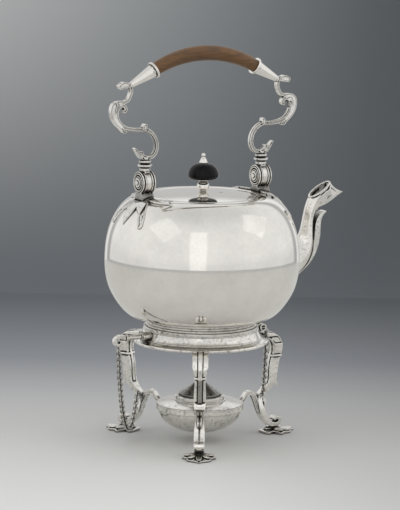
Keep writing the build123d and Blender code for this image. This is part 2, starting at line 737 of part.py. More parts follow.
def make_hinge_pin():
    """Pin with a cupped head and an eye for its chain."""
    head_y = -knuckle_end_y - SEAT_GAP
    rod = y_rod(HINGE_PIN_R, head_y, knuckle_end_y + 1.0, hinge_x, hinge_z)
    head = y_rod(KNUCKLE_R, head_y, head_y - PIN_HEAD_H, hinge_x, hinge_z)
    cup = y_rod(0.62 * KNUCKLE_R, head_y - 0.4 * PIN_HEAD_H, head_y - 2 * PIN_HEAD_H, hinge_x, hinge_z)
    bar = Pos(hinge_x, head_y - 0.6 * PIN_HEAD_H, hinge_z) * Box(1.4 * KNUCKLE_R, 0.6 * PIN_HEAD_H, 0.7)
    return rod + (head - cup) + bar + chain_eye(hinge_chain_eye, hinge_chain_end)


eye_reach = (KNUCKLE_R + STAPLE_R - EYE_SINK) / math.sqrt(2)
hinge_chain_eye = (hinge_x + eye_reach, -knuckle_end_y - SEAT_GAP - PIN_HEAD_H / 2, hinge_z - eye_reach)


def make_lock_guide():
    """Bush on the back of the stand ring that the lock pin slides in."""
    start = -(RING_SEAT_R - 2 * RING_WALL)
    bush = x_rod(LOCK_GUIDE_R, start, -lock_guide_out, 0, lock_z)
    bush += x_rod(LOCK_GUIDE_R + 0.8, -lock_guide_out + 2.0, -lock_guide_out + 0.6, 0, lock_z)
    bore = x_rod(LOCK_PIN_R + PIN_FIT, 0, -2 * lock_guide_out, 0, lock_z)
    return bush - bore


def make_kettle_catch():
    """Plate under the kettle whose hole takes the lock pin's tip."""
    low = lock_z - 1.8 * LOCK_PIN_R
    top = base_z - SEAT_GAP / 2
    plate = Pos(-catch_out + CATCH_T / 2, 0, (low + top) / 2) * Box(CATCH_T, CATCH_W, top - low)
    return plate - x_rod(LOCK_PIN_R + 0.3, 0, -2 * catch_out, 0, lock_z)


LOCK_HEAD = [(-2.5, 0.0), (2.5, 1.4), (6.6, 0.6), (8.6, -2.6), (6.4, -5.4), (3.6, -4.8), (3.4, -2.8)]
LOCK_HEAD_WIDTHS = [4.0, 3.6, 3.2, 3.0, 2.4, 2.0, 1.6]
lock_chain_eye = (-lock_pin_end - 5.0, 0, lock_z - 5.4 - 0.8 - STAPLE_R + EYE_SINK)


def make_lock_pin():
    """Drawn pin with a collar and a scroll head, hooked to its chain."""
    rod = x_rod(LOCK_PIN_R, -catch_out - LOCK_TIP_GAP, -lock_pin_end, 0, lock_z)
    rod += x_rod(1.5 * LOCK_PIN_R, -lock_pin_end + 3.6, -lock_pin_end + 2.0, 0, lock_z)
    points = [(-lock_pin_end - out, lock_z + up) for out, up in LOCK_HEAD]
    head = upright(ribbon(points, LOCK_HEAD_WIDTHS), 1.9 * LOCK_PIN_R)
    return rod + head + chain_eye(lock_chain_eye, lock_chain_end)


# Stand ring

RING_LINES = (0.12, 0.7)


def ring_outer(grow):
    top = (RING_SEAT_R + grow, RING_SEAT_Z - 0.8 * RING_FLANGE)
    low = (ring_foot_r + grow, ring_foot_z + 0.9 * RING_BEAD_R)
    hollow = (RING_SEAT_R + grow + 0.25 * (ring_foot_r - RING_SEAT_R), low[1] + 0.38 * (top[1] - low[1]))
    return ThreePointArc(top, hollow, low)


def ring_form():
    """The ring's outside, filled inwards to its opening, for seating what is soldered to it."""
    arc = ring_outer(0)
    top, low = arc @ 0, arc @ 1
    skirt = turned(
        arc,
        Polyline((low.X, low.Y), (ring_opening_r, low.Y), (ring_opening_r, RING_SEAT_Z),
                 (RING_SEAT_R, RING_SEAT_Z), (top.X, top.Y)),
    )
    return skirt + ring_mouldings()


def ring_mouldings():
    """Thick bead at the foot of the ring and the two fine lines round its hollow side."""
    outer = ring_outer(0)
    mouldings = revolve(Plane.XZ * (Pos(ring_foot_r, ring_foot_z) * Circle(RING_BEAD_R)), Axis.Z)
    for share in RING_LINES:
        place = outer @ share
        mouldings += revolve(Plane.XZ * (Pos(place.X, place.Y) * Circle(0.5 * RING_WALL)), Axis.Z)
    return mouldings


def make_stand_ring():
    """Hollow-sided ring with a flat seat, two raised lines and a thick bead at its foot."""
    outer, inner = ring_outer(0), ring_outer(-RING_WALL)
    top, low = outer @ 0, outer @ 1
    inner_top, inner_low = inner @ 0, inner @ 1
    flange_low = RING_SEAT_Z - RING_FLANGE
    skirt = turned(
        outer,
        Line((low.X, low.Y), (inner_low.X, inner_low.Y)),
        inner,
        Polyline((inner_top.X, inner_top.Y), (inner_top.X, flange_low), (ring_opening_r, flange_low),
                 (ring_opening_r, RING_SEAT_Z), (RING_SEAT_R, RING_SEAT_Z), (top.X, top.Y)),
    )
    pin_way = x_rod(LOCK_GUIDE_R, -ring_opening_r - 1, -2 * RING_SEAT_R, 0, lock_z)
    return skirt + ring_mouldings() - pin_way


# Legs and feet. A leg's places are (out from the ring's foot, share of the leg's height).

LEG_SHAFT = [(1.7, 1.005), (9.2, 0.995), (15.9, 0.952), (18.9, 0.861), (17.7, 0.752), (15.5, 0.632),
             (14.5, 0.524), (12.5, 0.459), (8.5, 0.397), (3.5, 0.346)]
LEG_SHAFT_WIDTHS = [4.0, 5.0, 7.6, 8.8, 8.4, 8.0, 6.8, 5.4, 4.6, 4.4]
LEG_KNEE_LEAF = [(14.5, 0.536), (17.0, 0.481), (19.9, 0.442)]
LEG_KNEE_WIDTHS = [4.6, 3.4, 1.4]
LEG_HOOK = [(3.3, 0.351), (6.5, 0.300), (8.9, 0.255), (7.7, 0.222)]
LEG_HOOK_WIDTHS = [3.4, 3.0, 2.4, 1.6]
LEG_FOOT_SCROLL = [(3.9, 0.356), (2.9, 0.278), (4.3, 0.195), (7.1, 0.113), (11.5, 0.048), (16.9, 0.017),
                   (21.9, 0.031), (22.9, 0.072), (19.3, 0.089), (17.9, 0.062)]
LEG_FOOT_WIDTHS = [4.2, 4.4, 5.0, 5.2, 4.8, 4.2, 3.6, 3.0, 2.4, 1.8]
LEG_FRONT = [(-0.14, LEG_LOW_W), (0.21, LEG_LOW_W), (0.33, LEG_WAIST_W), (0.475, LEG_PANEL_W),
             (0.79, LEG_PANEL_W), (0.90, LEG_TOP_W), (1.08, LEG_TOP_W)]
PANEL_LINES = (0.512, 0.77)
pad_heel = ring_foot_r + PAD_SET


def leg_height(share):
    return PAD_CROWN_H + share * leg_rise


def leg_ribbon(places, widths, thick):
    points = [(ring_foot_r + out, leg_height(share)) for out, share in places]
    return upright(ribbon(points, widths), thick)


def make_leg(foot):
    """Cast scroll leg: leafed shoulder, panelled shaft, nipped waist and a curled foot."""
    front = ribbon([(0, leg_height(share)) for share, _ in LEG_FRONT], [width for _, width in LEG_FRONT])
    side = leg_ribbon(LEG_SHAFT, LEG_SHAFT_WIDTHS, LEG_TOP_W)
    side += leg_ribbon(LEG_KNEE_LEAF, LEG_KNEE_WIDTHS, LEG_TOP_W)
    side += leg_ribbon(LEG_FOOT_SCROLL, LEG_FOOT_WIDTHS, LEG_TOP_W)
    leg = side & Pos(ring_foot_r, 0, 0) * extrude(Plane.YZ * front, PAD_L)
    leg += leg_ribbon(LEG_HOOK, LEG_HOOK_WIDTHS, 0.7 * LEG_WAIST_W)
    rib_widths = [width + 2 * LEG_RIB for width in LEG_SHAFT_WIDTHS]
    leg += leg_ribbon(LEG_SHAFT[1:8], rib_widths[1:8], LEG_RIB_W)
    band = leg_ribbon(LEG_SHAFT[3:7], rib_widths[3:7], LEG_PANEL_W + 2 * LEG_RIB)
    for share in PANEL_LINES:
        line = Pos(ring_foot_r, 0, leg_height(share)) * Box(2 * PAD_L, 2 * LEG_PANEL_W, PANEL_LINE_H)
        leg += band & line
    return leg - ring_form() - foot


def make_foot():
    """Cast leaf-shaped pad with a low crown, flat underneath."""
    half = [(0, 0.17), (0.10, 0.30), (0.22, 0.26), (0.36, 0.50), (0.52, 0.38), (0.66, 0.36), (0.80, 0.16)]
    upper = [(pad_heel + share * PAD_L, out * PAD_W) for share, out in half]
    tip = (pad_heel + PAD_L, 0)
    lower = [(x, -y) for x, y in upper]
    outline = make_face([Spline(*upper, tip), Spline(tip, *lower[::-1]), Line(lower[0], upper[0])])
    pad = extrude(outline, PAD_CROWN_H)
    middle_x = pad_heel + 0.3 * PAD_L
    reach = 0.7 * PAD_L
    rise = PAD_CROWN_H - PAD_EDGE_H
    crown_r = (reach ** 2 + rise ** 2) / (2 * rise)
    return pad & Pos(middle_x, 0, PAD_CROWN_H - crown_r) * Sphere(crown_r)


# Lamp, its cradle and the arms that hold it

cradle_in = LAMP_R + CRADLE_GAP
cradle_out = cradle_in + CRADLE_BAND
cradle_top = CRADLE_Z + CRADLE_H
# From the leg's foot in to the cradle: (share of the distance, height off the cradle's middle)
LAMP_ARM = [(1.0, -16.1), (0.84, -9.3), (0.733, -2.1), (0.63, 3.9), (0.489, 7.5), (0.336, 6.7),
            (0.221, 2.7), (0.099, 0.3), (-0.031, 0.1)]
LAMP_ARM_WIDTHS = [3.0, 3.0, 3.0, 3.2, 3.6, 3.4, 3.0, 2.8, 2.6]


def make_lamp_arm(leg):
    """Inverted scroll strap from the leg's foot up and over to the lamp's cradle."""
    span, middle_z = pad_heel - cradle_out, CRADLE_Z + CRADLE_H / 2
    points = [(cradle_out + share * span, middle_z + up) for share, up in LAMP_ARM]
    strap = upright(ribbon(points, LAMP_ARM_WIDTHS), 0.7 * LEG_LOW_W)
    core = Pos(0, 0, CRADLE_Z - CRADLE_H) * extrude(Circle(cradle_out), 3 * CRADLE_H)
    return strap - core - leg


def make_lamp_cradle():
    band = turned_points([(cradle_in, CRADLE_Z), (cradle_out, CRADLE_Z), (cradle_out, cradle_top),
                          (cradle_in, cradle_top)])
    return band


flange_z = cradle_top + SEAT_GAP / 2
lamp_rim_z = flange_z + LAMP_FLANGE
collar_z = lamp_rim_z + COVER_RISE
burner_z = collar_z + COLLAR_H
wick_top_z = burner_z + WICK_TUBE_RISE


def bowl_form(radius, base_z, top_z):
    """Round-bottomed bowl as a filled solid, with upright sides from the cradle up."""
    side_z = CRADLE_Z - 1
    return turned(
        EllipticalCenterArc((0, side_z), radius, side_z - base_z, 270, arc_size=90),
        Polyline((radius, side_z), (radius, top_z), (0, top_z), (0, base_z)),
    )


def make_lamp_bowl():
    flange = Pos(0, 0, flange_z) * extrude(Circle(cradle_out) - Circle(LAMP_R), LAMP_FLANGE)
    hollow = bowl_form(LAMP_R - LAMP_WALL, LAMP_BASE_Z + LAMP_WALL, lamp_rim_z + LAMP_FLANGE)
    return bowl_form(LAMP_R, LAMP_BASE_Z, lamp_rim_z) + flange - hollow


def make_lamp_cover():
    """Lid of the oil bowl: sloping plate, moulded collar and the burner's flat top."""
    wall, bore = LAMP_WALL, WICK_TUBE_R + PIN_FIT
    base = lamp_rim_z + SEAT_GAP / 2
    edge = cradle_out - 0.4
    return turned_points([
        (edge, base), (edge, base + 0.6 * wall), (COLLAR_R + 1.0, collar_z), (COLLAR_R + 1.0, collar_z + 0.8),
        (COLLAR_R, collar_z + 1.2), (COLLAR_R, burner_z - 0.8), (COLLAR_R - 0.8, burner_z), (bore, burner_z),
        (bore, burner_z - wall), (COLLAR_R - wall, burner_z - wall), (COLLAR_R - wall, collar_z - wall),
        (LAMP_R - 3, base),
    ])


def make_wick_tube():
    length = WICK_TUBE_DIP + WICK_TUBE_RISE
    tube = extrude(Circle(WICK_TUBE_R) - Circle(WICK_TUBE_R - WICK_TUBE_WALL), length)
    stop = extrude(Circle(WICK_TUBE_R + 1.2) - Circle(WICK_TUBE_R - WICK_TUBE_WALL), 0.8)
    return Pos(0, 0, burner_z - WICK_TUBE_DIP) * tube + Pos(0, 0, burner_z + SEAT_GAP / 2) * stop


def make_wick():
    low = LAMP_BASE_Z + LAMP_WALL + 2.0
    return Pos(0, 0, low) * extrude(Circle(WICK_R), wick_top_z + 1.6 - low)


cap_base_z = burner_z + SEAT_GAP / 2


def make_lamp_cap():
    """Snuffer: a hollow stepped cone that drops over the wick tube."""
    top_r = 1.4 * CAP_KNOB_R
    points = [(CAP_R, cap_base_z)]
    for step in range(CAP_STEPS):
        radius = CAP_R + (top_r - CAP_R) * step / CAP_STEPS
        inner_radius = CAP_R + (top_r - CAP_R) * (step + 0.55) / CAP_STEPS
        height = cap_base_z + CAP_H * (step + 1) / CAP_STEPS
        points += [(radius, height - 0.45 * CAP_H / CAP_STEPS), (inner_radius, height)]
    points += [(0, cap_base_z + CAP_H), (0, cap_base_z + CAP_H - CAP_WALL)]
    points += [(WICK_TUBE_R + 1.4, cap_base_z + CAP_H - 2 * CAP_WALL),
               (CAP_R - 2.5 * CAP_WALL, cap_base_z + CAP_H / CAP_STEPS - CAP_WALL),
               (CAP_R - 2.5 * CAP_WALL, cap_base_z)]
    return turned_points(points)


def make_lamp_cap_knob():
    base = cap_base_z + CAP_H + SEAT_GAP / 2
    stem = 0.45 * CAP_KNOB_R
    centre = base + 0.4 + CAP_KNOB_R
    rise = math.sqrt(CAP_KNOB_R ** 2 - stem ** 2)
    return turned(
        Polyline((0, base), (0.8 * CAP_KNOB_R, base), (stem, centre - rise)),
        ThreePointArc((stem, centre - rise), (CAP_KNOB_R, centre), (0, centre + CAP_KNOB_R)),
        Line((0, centre + CAP_KNOB_R), (0, base)),
    )


# Chains

def make_link():
    """Eight-cornered wire link lying along X."""
    long_in, long_out = LINK_PITCH / 2 + LINK_PLAY / 2, LINK_PITCH / 2 + LINK_PLAY / 2 + LINK_WIRE
    wide_out = LINK_W / 2
    wide_in = wide_out - LINK_WIRE
    outlines = []
    for a, b, cut in ((long_out, wide_out, 0.45 * LINK_W / 2), (long_in, wide_in, 0.3 * LINK_W / 2)):
        outlines.append([(a, -b + cut), (a, b - cut), (a - cut, b), (cut - a, b), (-a, b - cut),
                         (-a, cut - b), (cut - a, -b), (a - cut, -b)])
    loop = make_face(Polyline(*outlines[0], close=True)) - make_face(Polyline(*outlines[1], close=True))
    return extrude(loop, LINK_WIRE / 2, both=True)


def hanging_links(start, end, slack):
    """Chain of links hung from start to end, in the curve that a slack chain takes."""
    start, end = Vector(*start), Vector(*end)
    away = Vector(end.X - start.X, end.Y - start.Y, 0)
    span, rise = away.length, end.Z - start.Z
    count = 2 * round(((end - start).length * slack / LINK_PITCH - 1) / 2) + 1
    length = (end - start).length * slack
    low, high = 0.01 * span, 100 * span
    for _ in range(80):
        size = (low + high) / 2
        if 2 * size * math.sinh(min(span / (2 * size), 300)) > math.sqrt(length ** 2 - rise ** 2):
            low = size
        else:
            high = size
    bottom = span / 2 - size * math.atanh(rise / length)
    away = away.normalized()
    across = away.cross(Vector(0, 0, 1))
    link = make_link()
    links = []
    for index in range(count):
        run = (index + 0.5) * length / count
        place = bottom + size * math.asinh(run / size + math.sinh(-bottom / size))
        height = size * (math.cosh((place - bottom) / size) - math.cosh(bottom / size))
        slope = math.sinh((place - bottom) / size)
        along = (away + Vector(0, 0, slope)).normalized()
        facing = across.cross(along) if index % 2 else across
        links.append(Plane(start + away * place + Vector(0, 0, height), x_dir=along, z_dir=facing) * link)
    return links


def make_staple(side, leg):
    """Level ring on the side of the leg's waist that holds the end of a chain."""
    x, y, z = staple_place(side)
    ring = extrude(Circle(STAPLE_R) - Circle(STAPLE_R - STAPLE_WIRE), STAPLE_WIRE)
    return Pos(x, y, z - STAPLE_WIRE / 2) * ring - leg


def save_all():
    shell = make_kettle_shell()
    save(shell_half(shell, -1), "kettle_shell_lower")
    save(shell_half(shell, 1), "kettle_shell_upper")
    save(make_kettle_foot(), "kettle_foot")
    save(make_kettle_rim(), "kettle_rim")
    save(make_spout(), "spout")
    save(make_kettle_hinge_lug(), "kettle_hinge_lug")
    save(make_kettle_catch(), "kettle_catch")
    save(make_lid_plate(), "lid_plate")
    save(make_lid_skirt(), "lid_skirt")
    save(make_knob_stem(), "knob_stem")
    save(make_knob_nut(), "knob_nut")
    save(make_knob_wood(), "knob_wood")
    save(make_knob_washer(), "knob_washer")
    save(make_knob_finial(), "knob_finial")
    for name, make in (("shoulder_bracket", make_shoulder_bracket), ("handle_pin", make_handle_pin),
                       ("handle_arm", make_handle_arm), ("ferrule", make_ferrule)):
        right = make()
        save(right, f"{name}_right")
        save(mirror(right, Plane.YZ), f"{name}_left")
    rivet = ferrule_pin_rod(FERRULE_PIN_R)
    save(rivet, "ferrule_pin_right")
    save(mirror(rivet, Plane.YZ), "ferrule_pin_left")
    save(make_grip(), "grip")
    save(make_stand_ring(), "stand_ring")
    save(make_stand_knuckle(-1), "stand_knuckle_front")
    save(make_stand_knuckle(1), "stand_knuckle_back")
    save(make_hinge_pin(), "hinge_pin")
    save(make_lock_guide(), "lock_guide")
    save(make_lock_pin(), "lock_pin")
    foot = make_foot()
    leg = make_leg(foot)
    arm = make_lamp_arm(leg)
    for name, azimuth in LEG_AZIMUTHS.items():
        save(around(leg, azimuth), f"leg_{name}")
        save(around(foot, azimuth), f"foot_{name}")
        save(around(arm, azimuth), f"lamp_arm_{name}")
    save(make_lamp_cradle(), "lamp_cradle")
    save(make_lamp_bowl(), "lamp_bowl")
    save(make_lamp_cover(), "lamp_cover")
    save(make_wick_tube(), "wick_tube")
    save(make_wick(), "wick")
    save(make_lamp_cap(), "lamp_cap")
    save(make_lamp_cap_knob(), "lamp_cap_knob")
    save(make_staple(-1, leg), "chain_staple_spout")
    save(around(make_staple(1, leg), LEG_AZIMUTHS["rear"]), "chain_staple_rear")
    drop = STAPLE_R - STAPLE_WIRE / 2 - hook_reach
    for name, eye, end, slack in (
        ("hinge_chain", hinge_chain_eye, hinge_chain_end, HINGE_CHAIN_SLACK),
        ("lock_chain", lock_chain_eye, lock_chain_end, LOCK_CHAIN_SLACK),
    ):
        start = (eye[0], eye[1], eye[2] - drop)
        save(Compound(children=hanging_links(start, end, slack)), name)


save_all()
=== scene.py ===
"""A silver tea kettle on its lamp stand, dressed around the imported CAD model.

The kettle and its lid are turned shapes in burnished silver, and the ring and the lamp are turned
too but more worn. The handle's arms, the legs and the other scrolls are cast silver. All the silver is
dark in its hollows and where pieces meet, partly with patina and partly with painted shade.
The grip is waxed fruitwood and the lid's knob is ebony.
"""

import json
import math

import bmesh
import bpy
import numpy as np
from bpy.props import FloatProperty, IntProperty, PointerProperty, StringProperty
from mathutils import Matrix, Quaternion, Vector
from mathutils.bvhtree import BVHTree


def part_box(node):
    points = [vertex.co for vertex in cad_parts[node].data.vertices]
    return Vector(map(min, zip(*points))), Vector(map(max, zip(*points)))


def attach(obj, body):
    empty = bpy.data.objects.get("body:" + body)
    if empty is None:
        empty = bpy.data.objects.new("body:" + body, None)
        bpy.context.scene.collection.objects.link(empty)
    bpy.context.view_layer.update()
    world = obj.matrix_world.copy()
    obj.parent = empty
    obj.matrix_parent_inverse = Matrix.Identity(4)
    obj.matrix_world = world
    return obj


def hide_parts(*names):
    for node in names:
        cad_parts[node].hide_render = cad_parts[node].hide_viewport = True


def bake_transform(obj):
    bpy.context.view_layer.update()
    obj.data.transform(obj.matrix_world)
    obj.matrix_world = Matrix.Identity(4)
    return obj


bl_info = {
    "name": "Tea Kettle on Lamp Stand",
    "version": (1, 0, 0),
    "blender": (4, 5, 0),
    "location": "View3D > Sidebar > Tea Kettle",
    "description": "Dresses a silver tea kettle, its scroll-legged stand and its spirit lamp",
    "category": "Object",
}

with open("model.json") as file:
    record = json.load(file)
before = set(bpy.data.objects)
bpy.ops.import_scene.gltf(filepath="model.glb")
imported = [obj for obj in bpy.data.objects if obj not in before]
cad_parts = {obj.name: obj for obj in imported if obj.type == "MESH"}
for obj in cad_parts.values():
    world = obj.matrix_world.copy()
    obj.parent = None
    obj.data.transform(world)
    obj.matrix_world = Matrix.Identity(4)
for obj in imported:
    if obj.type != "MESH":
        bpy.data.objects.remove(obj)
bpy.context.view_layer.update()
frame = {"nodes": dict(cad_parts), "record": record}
NODES = frame["nodes"]

MM = 0.001
WELD = 0.001 * MM
# Edges of turned pieces that bend by more than this many degrees are rounded
EDGE_BEND = 34
LEGS = {"spout": 0.0, "rear": math.radians(120), "front": math.radians(240)}
SIDES = ("left", "right")

# Places and sizes that the CAD has too: the lid's steam vent, and the drums of the handle's hinges
# with the pedestals under them
VENT_R = 1.1 * MM
VENT_PLACE = (13.0 * MM, -8.6 * MM, 219 * MM)
DRUM_R = 9.2 * MM
PEDESTAL_LOW, PEDESTAL_HIGH = 213 * MM, 223 * MM

# The spout's mouth: the middle of its oval, the tilt of its rim and its half length and width
MOUTH = Matrix.Translation((119.5 * MM, 0, 215.6 * MM)) @ Matrix.Rotation(math.radians(-33), 4, "Y")
MOUTH_LONG, MOUTH_WIDE = 11.6 * MM, 7.2 * MM

# Outline of the flare beside the mouth, in mm: (x, z, half width)
FLARE = ((112, 199.5, 5.7), (121, 203.2, 6.5), (131, 207.6, 5.0), (136, 211.4, 3.2), (131.5, 214.8, 4.6),
         (127, 217.2, 6.2), (121.5, 214.2, 6.9), (116, 210, 6.6))
FLARE_SHEET = 1.8

# Leaves of a foot: (turn from the toe in degrees, share of the foot's length, width and lift in mm).
# They spring from a place on the foot's length, which is given as a share of it, and fall by an angle
FOOT_LEAVES = ((0, 0.62, 5.6, 3.2), (36, 0.50, 4.8, 3.0), (-36, 0.50, 4.8, 3.0), (80, 0.42, 5.0, 2.8),
               (-80, 0.42, 5.0, 2.8), (180, 0.28, 5.6, 1.5))
LEAF_THICK = 3.0 * MM
LEAF_ROOT, LEAF_ROOT_HEIGHT, LEAF_FALL = 0.32, 5.2 * MM, math.radians(15)
CROWN_PLACE, CROWN_HALF_LONG, CROWN_HALF_WIDE, CROWN_HEIGHT = 0.34, 0.26, 4.6 * MM, 5.8 * MM
PAD_SQUASH = 0.5

# Straps from a bracket over the shoulder: points (out from the axis, across) from the bracket's
# middle in mm, and the strap's half thickness at each
STRAPS = (
    ([(0, 5), (2, 10), (6.5, 16), (12, 21.5), (16, 24.5), (18, 22), (15.5, 18), (11.5, 13), (10, 8), (6, 4)],
     [1.3, 1.5, 1.3, 1.4, 1.7, 1.6, 1.3, 1.4, 1.5, 1.3]),
    ([(13, 18), (12.5, 20), (14.5, 21)], [1.0, 1.4, 1.0]),
    ([(-1, 7), (-3, 12), (-5, 18), (-6.5, 24), (-8, 30), (-9.5, 34)], [1.9, 2.0, 1.5, 2.2, 1.5, 0.5]),
    ([(-5, 17), (-2, 21), (-3, 25)], [1.2, 1.4, 0.6]),
    ([(-6.5, 23), (-10.5, 25), (-12.5, 28.5)], [1.2, 1.3, 0.5]),
)
STRAP_SINK = 0.1 * MM

# Darkened strips down a leg, the lower one painted shade for a groove: (half width in mm, lowest
# and highest share of its height, darkness)
LEG_STRIPS = ((2.3, 0.53, 0.75, 0.42), (0.9, 0.15, 0.47, 0.5))

# A chain link's round outline: (along, across) as shares of its half length and half width
LINK_OUTLINE = ((1, -0.55), (1, 0.55), (0.6, 1), (-0.6, 1), (-1, 0.55), (-1, -0.55), (-0.6, -1), (0.6, -1))

# The stage: where the lamps aim, the table that the silver shows, and the floor and backdrop
AIM = Vector((0, 0, 0.16))
TABLE_R = 1.02
TABLE_EDGE_R = 1.22 * TABLE_R
TABLE_EDGE_TURN = math.radians(280)
WALL_DEPTH, WALL_HEIGHT, WALL_BEND = 1.25, 4.0, 0.5
FLOOR_NEAR, FLOOR_HALF_WIDTH = -6.0, 5.0

# The photograph's frame, and in its pixels the camera's focal length and sideways shift. The sensor
# is in mm
FRAME_WIDTH, FRAME_HEIGHT = 400, 510
FOCAL_PIXELS, SIDE_PIXELS = 3211.7, 2.02
SENSOR = 36.0


# Settings that a user would change


class KettleFinish(bpy.types.PropertyGroup):
    """Colours and wear of the kettle's materials."""

    silver: StringProperty(name="Silver", description="Colour of clean silver", default="#F1EEE8")
    tarnish_and_shade: StringProperty(name="Tarnish", description="Colour of the tarnish in hollows", default="#3B352D")
    wood: StringProperty(name="Grip wood", description="Colour of the grip's hardwood", default="#684722")
    wood_dark: StringProperty(name="Wood figure", description="Dark lines of the wood", default="#45301B")
    ebony: StringProperty(name="Ebony", description="Colour of the lid's knob", default="#060505")
    cotton: StringProperty(name="Cotton", description="Colour of the wick", default="#D8CFB8")
    polish: FloatProperty(name="Polish", description="Roughness of the burnished silver", default=0.07,
                          min=0.02, max=0.6)


class KettleForm(bpy.types.PropertyGroup):
    """How finely the pieces are made."""

    turned_steps: IntProperty(name="Turned steps", description="Facets round a turned piece", default=144,
                              min=24, max=256)
    cast_cell: FloatProperty(name="Cast cell", description="Size of the cells of a cast piece",
                             default=0.36 * MM, min=0.1 * MM, max=2 * MM, unit="LENGTH")
    link_wire: FloatProperty(name="Link wire", description="Thickness of the chains' wire",
                             default=1.3 * MM, min=0.2 * MM, max=2 * MM, unit="LENGTH")
    edge_round: FloatProperty(name="Edge round", description="Width of the rounded edge of a turned piece",
                              default=0.22 * MM, min=0, max=1 * MM, unit="LENGTH")


class KettleStudio(bpy.types.PropertyGroup):
    """The camera's place and the light's strength."""

    distance: FloatProperty(name="Distance", description="Camera to the kettle's axis", default=2.8,
                            unit="LENGTH")
    height: FloatProperty(name="Aim height", description="Height on the axis that the camera looks at",
                          default=164.86 * MM, unit="LENGTH")
    azimuth: FloatProperty(name="Azimuth", description="Camera's direction round the kettle",
                           default=math.radians(240), subtype="ANGLE")
    elevation: FloatProperty(name="Elevation", description="Camera's height angle",
                             default=math.radians(9.02), subtype="ANGLE")
    roll: FloatProperty(name="Roll", description="Camera's turn about its own axis",
                        default=math.radians(0.87), subtype="ANGLE")
    light: FloatProperty(name="Light", description="Strength of all the lamps together", default=1.0,
                         min=0)


# Materials


def linear(code):
    """An sRGB hex colour as linear red, green, blue and alpha."""
    channels = [int(code[i:i + 2], 16) / 255 for i in (1, 3, 5)]
    return [c / 12.92 if c <= 0.04045 else ((c + 0.055) / 1.055) ** 2.4 for c in channels] + [1.0]


def add(tree, kind, inputs=(), stops=(), **settings):
    """A node of that kind with its settings. Each input is a value or the socket that feeds it, and
    each stop of a colour ramp is a place and a linear colour."""
    node = tree.nodes.new(kind)
    for name, value in settings.items():
        setattr(node, name, value)
    for _ in stops[2:]:
        node.color_ramp.elements.new(0.5)
    for position, (place, colour) in enumerate(stops):
        element = node.color_ramp.elements[position]
        element.position = place
        element.color = colour
    for name, value in dict(inputs).items():
        socket = node.inputs[name]
        if isinstance(value, bpy.types.NodeSocket):
            tree.links.new(value, socket)
        else:
            socket.default_value = value
    return node


def start_material(name):
    """An empty node material with its output and a Principled shader."""
    material = bpy.data.materials.new(name)
    material.use_nodes = True
    tree = material.node_tree
    tree.nodes.clear()
    shader = add(tree, "ShaderNodeBsdfPrincipled")
    output = add(tree, "ShaderNodeOutputMaterial")
    tree.links.new(shader.outputs["BSDF"], output.inputs["Surface"])
    return material, tree, shader


def feed(tree, shader, **sources):
    """Links sockets to a shader's inputs, with a low line for each space in an input's name."""
    for name, source in sources.items():
        tree.links.new(source, shader.inputs[name.replace("_", " ")])


def grey(value):
    """A grey as linear red, green, blue and alpha."""
    return (value, value, value, 1.0)


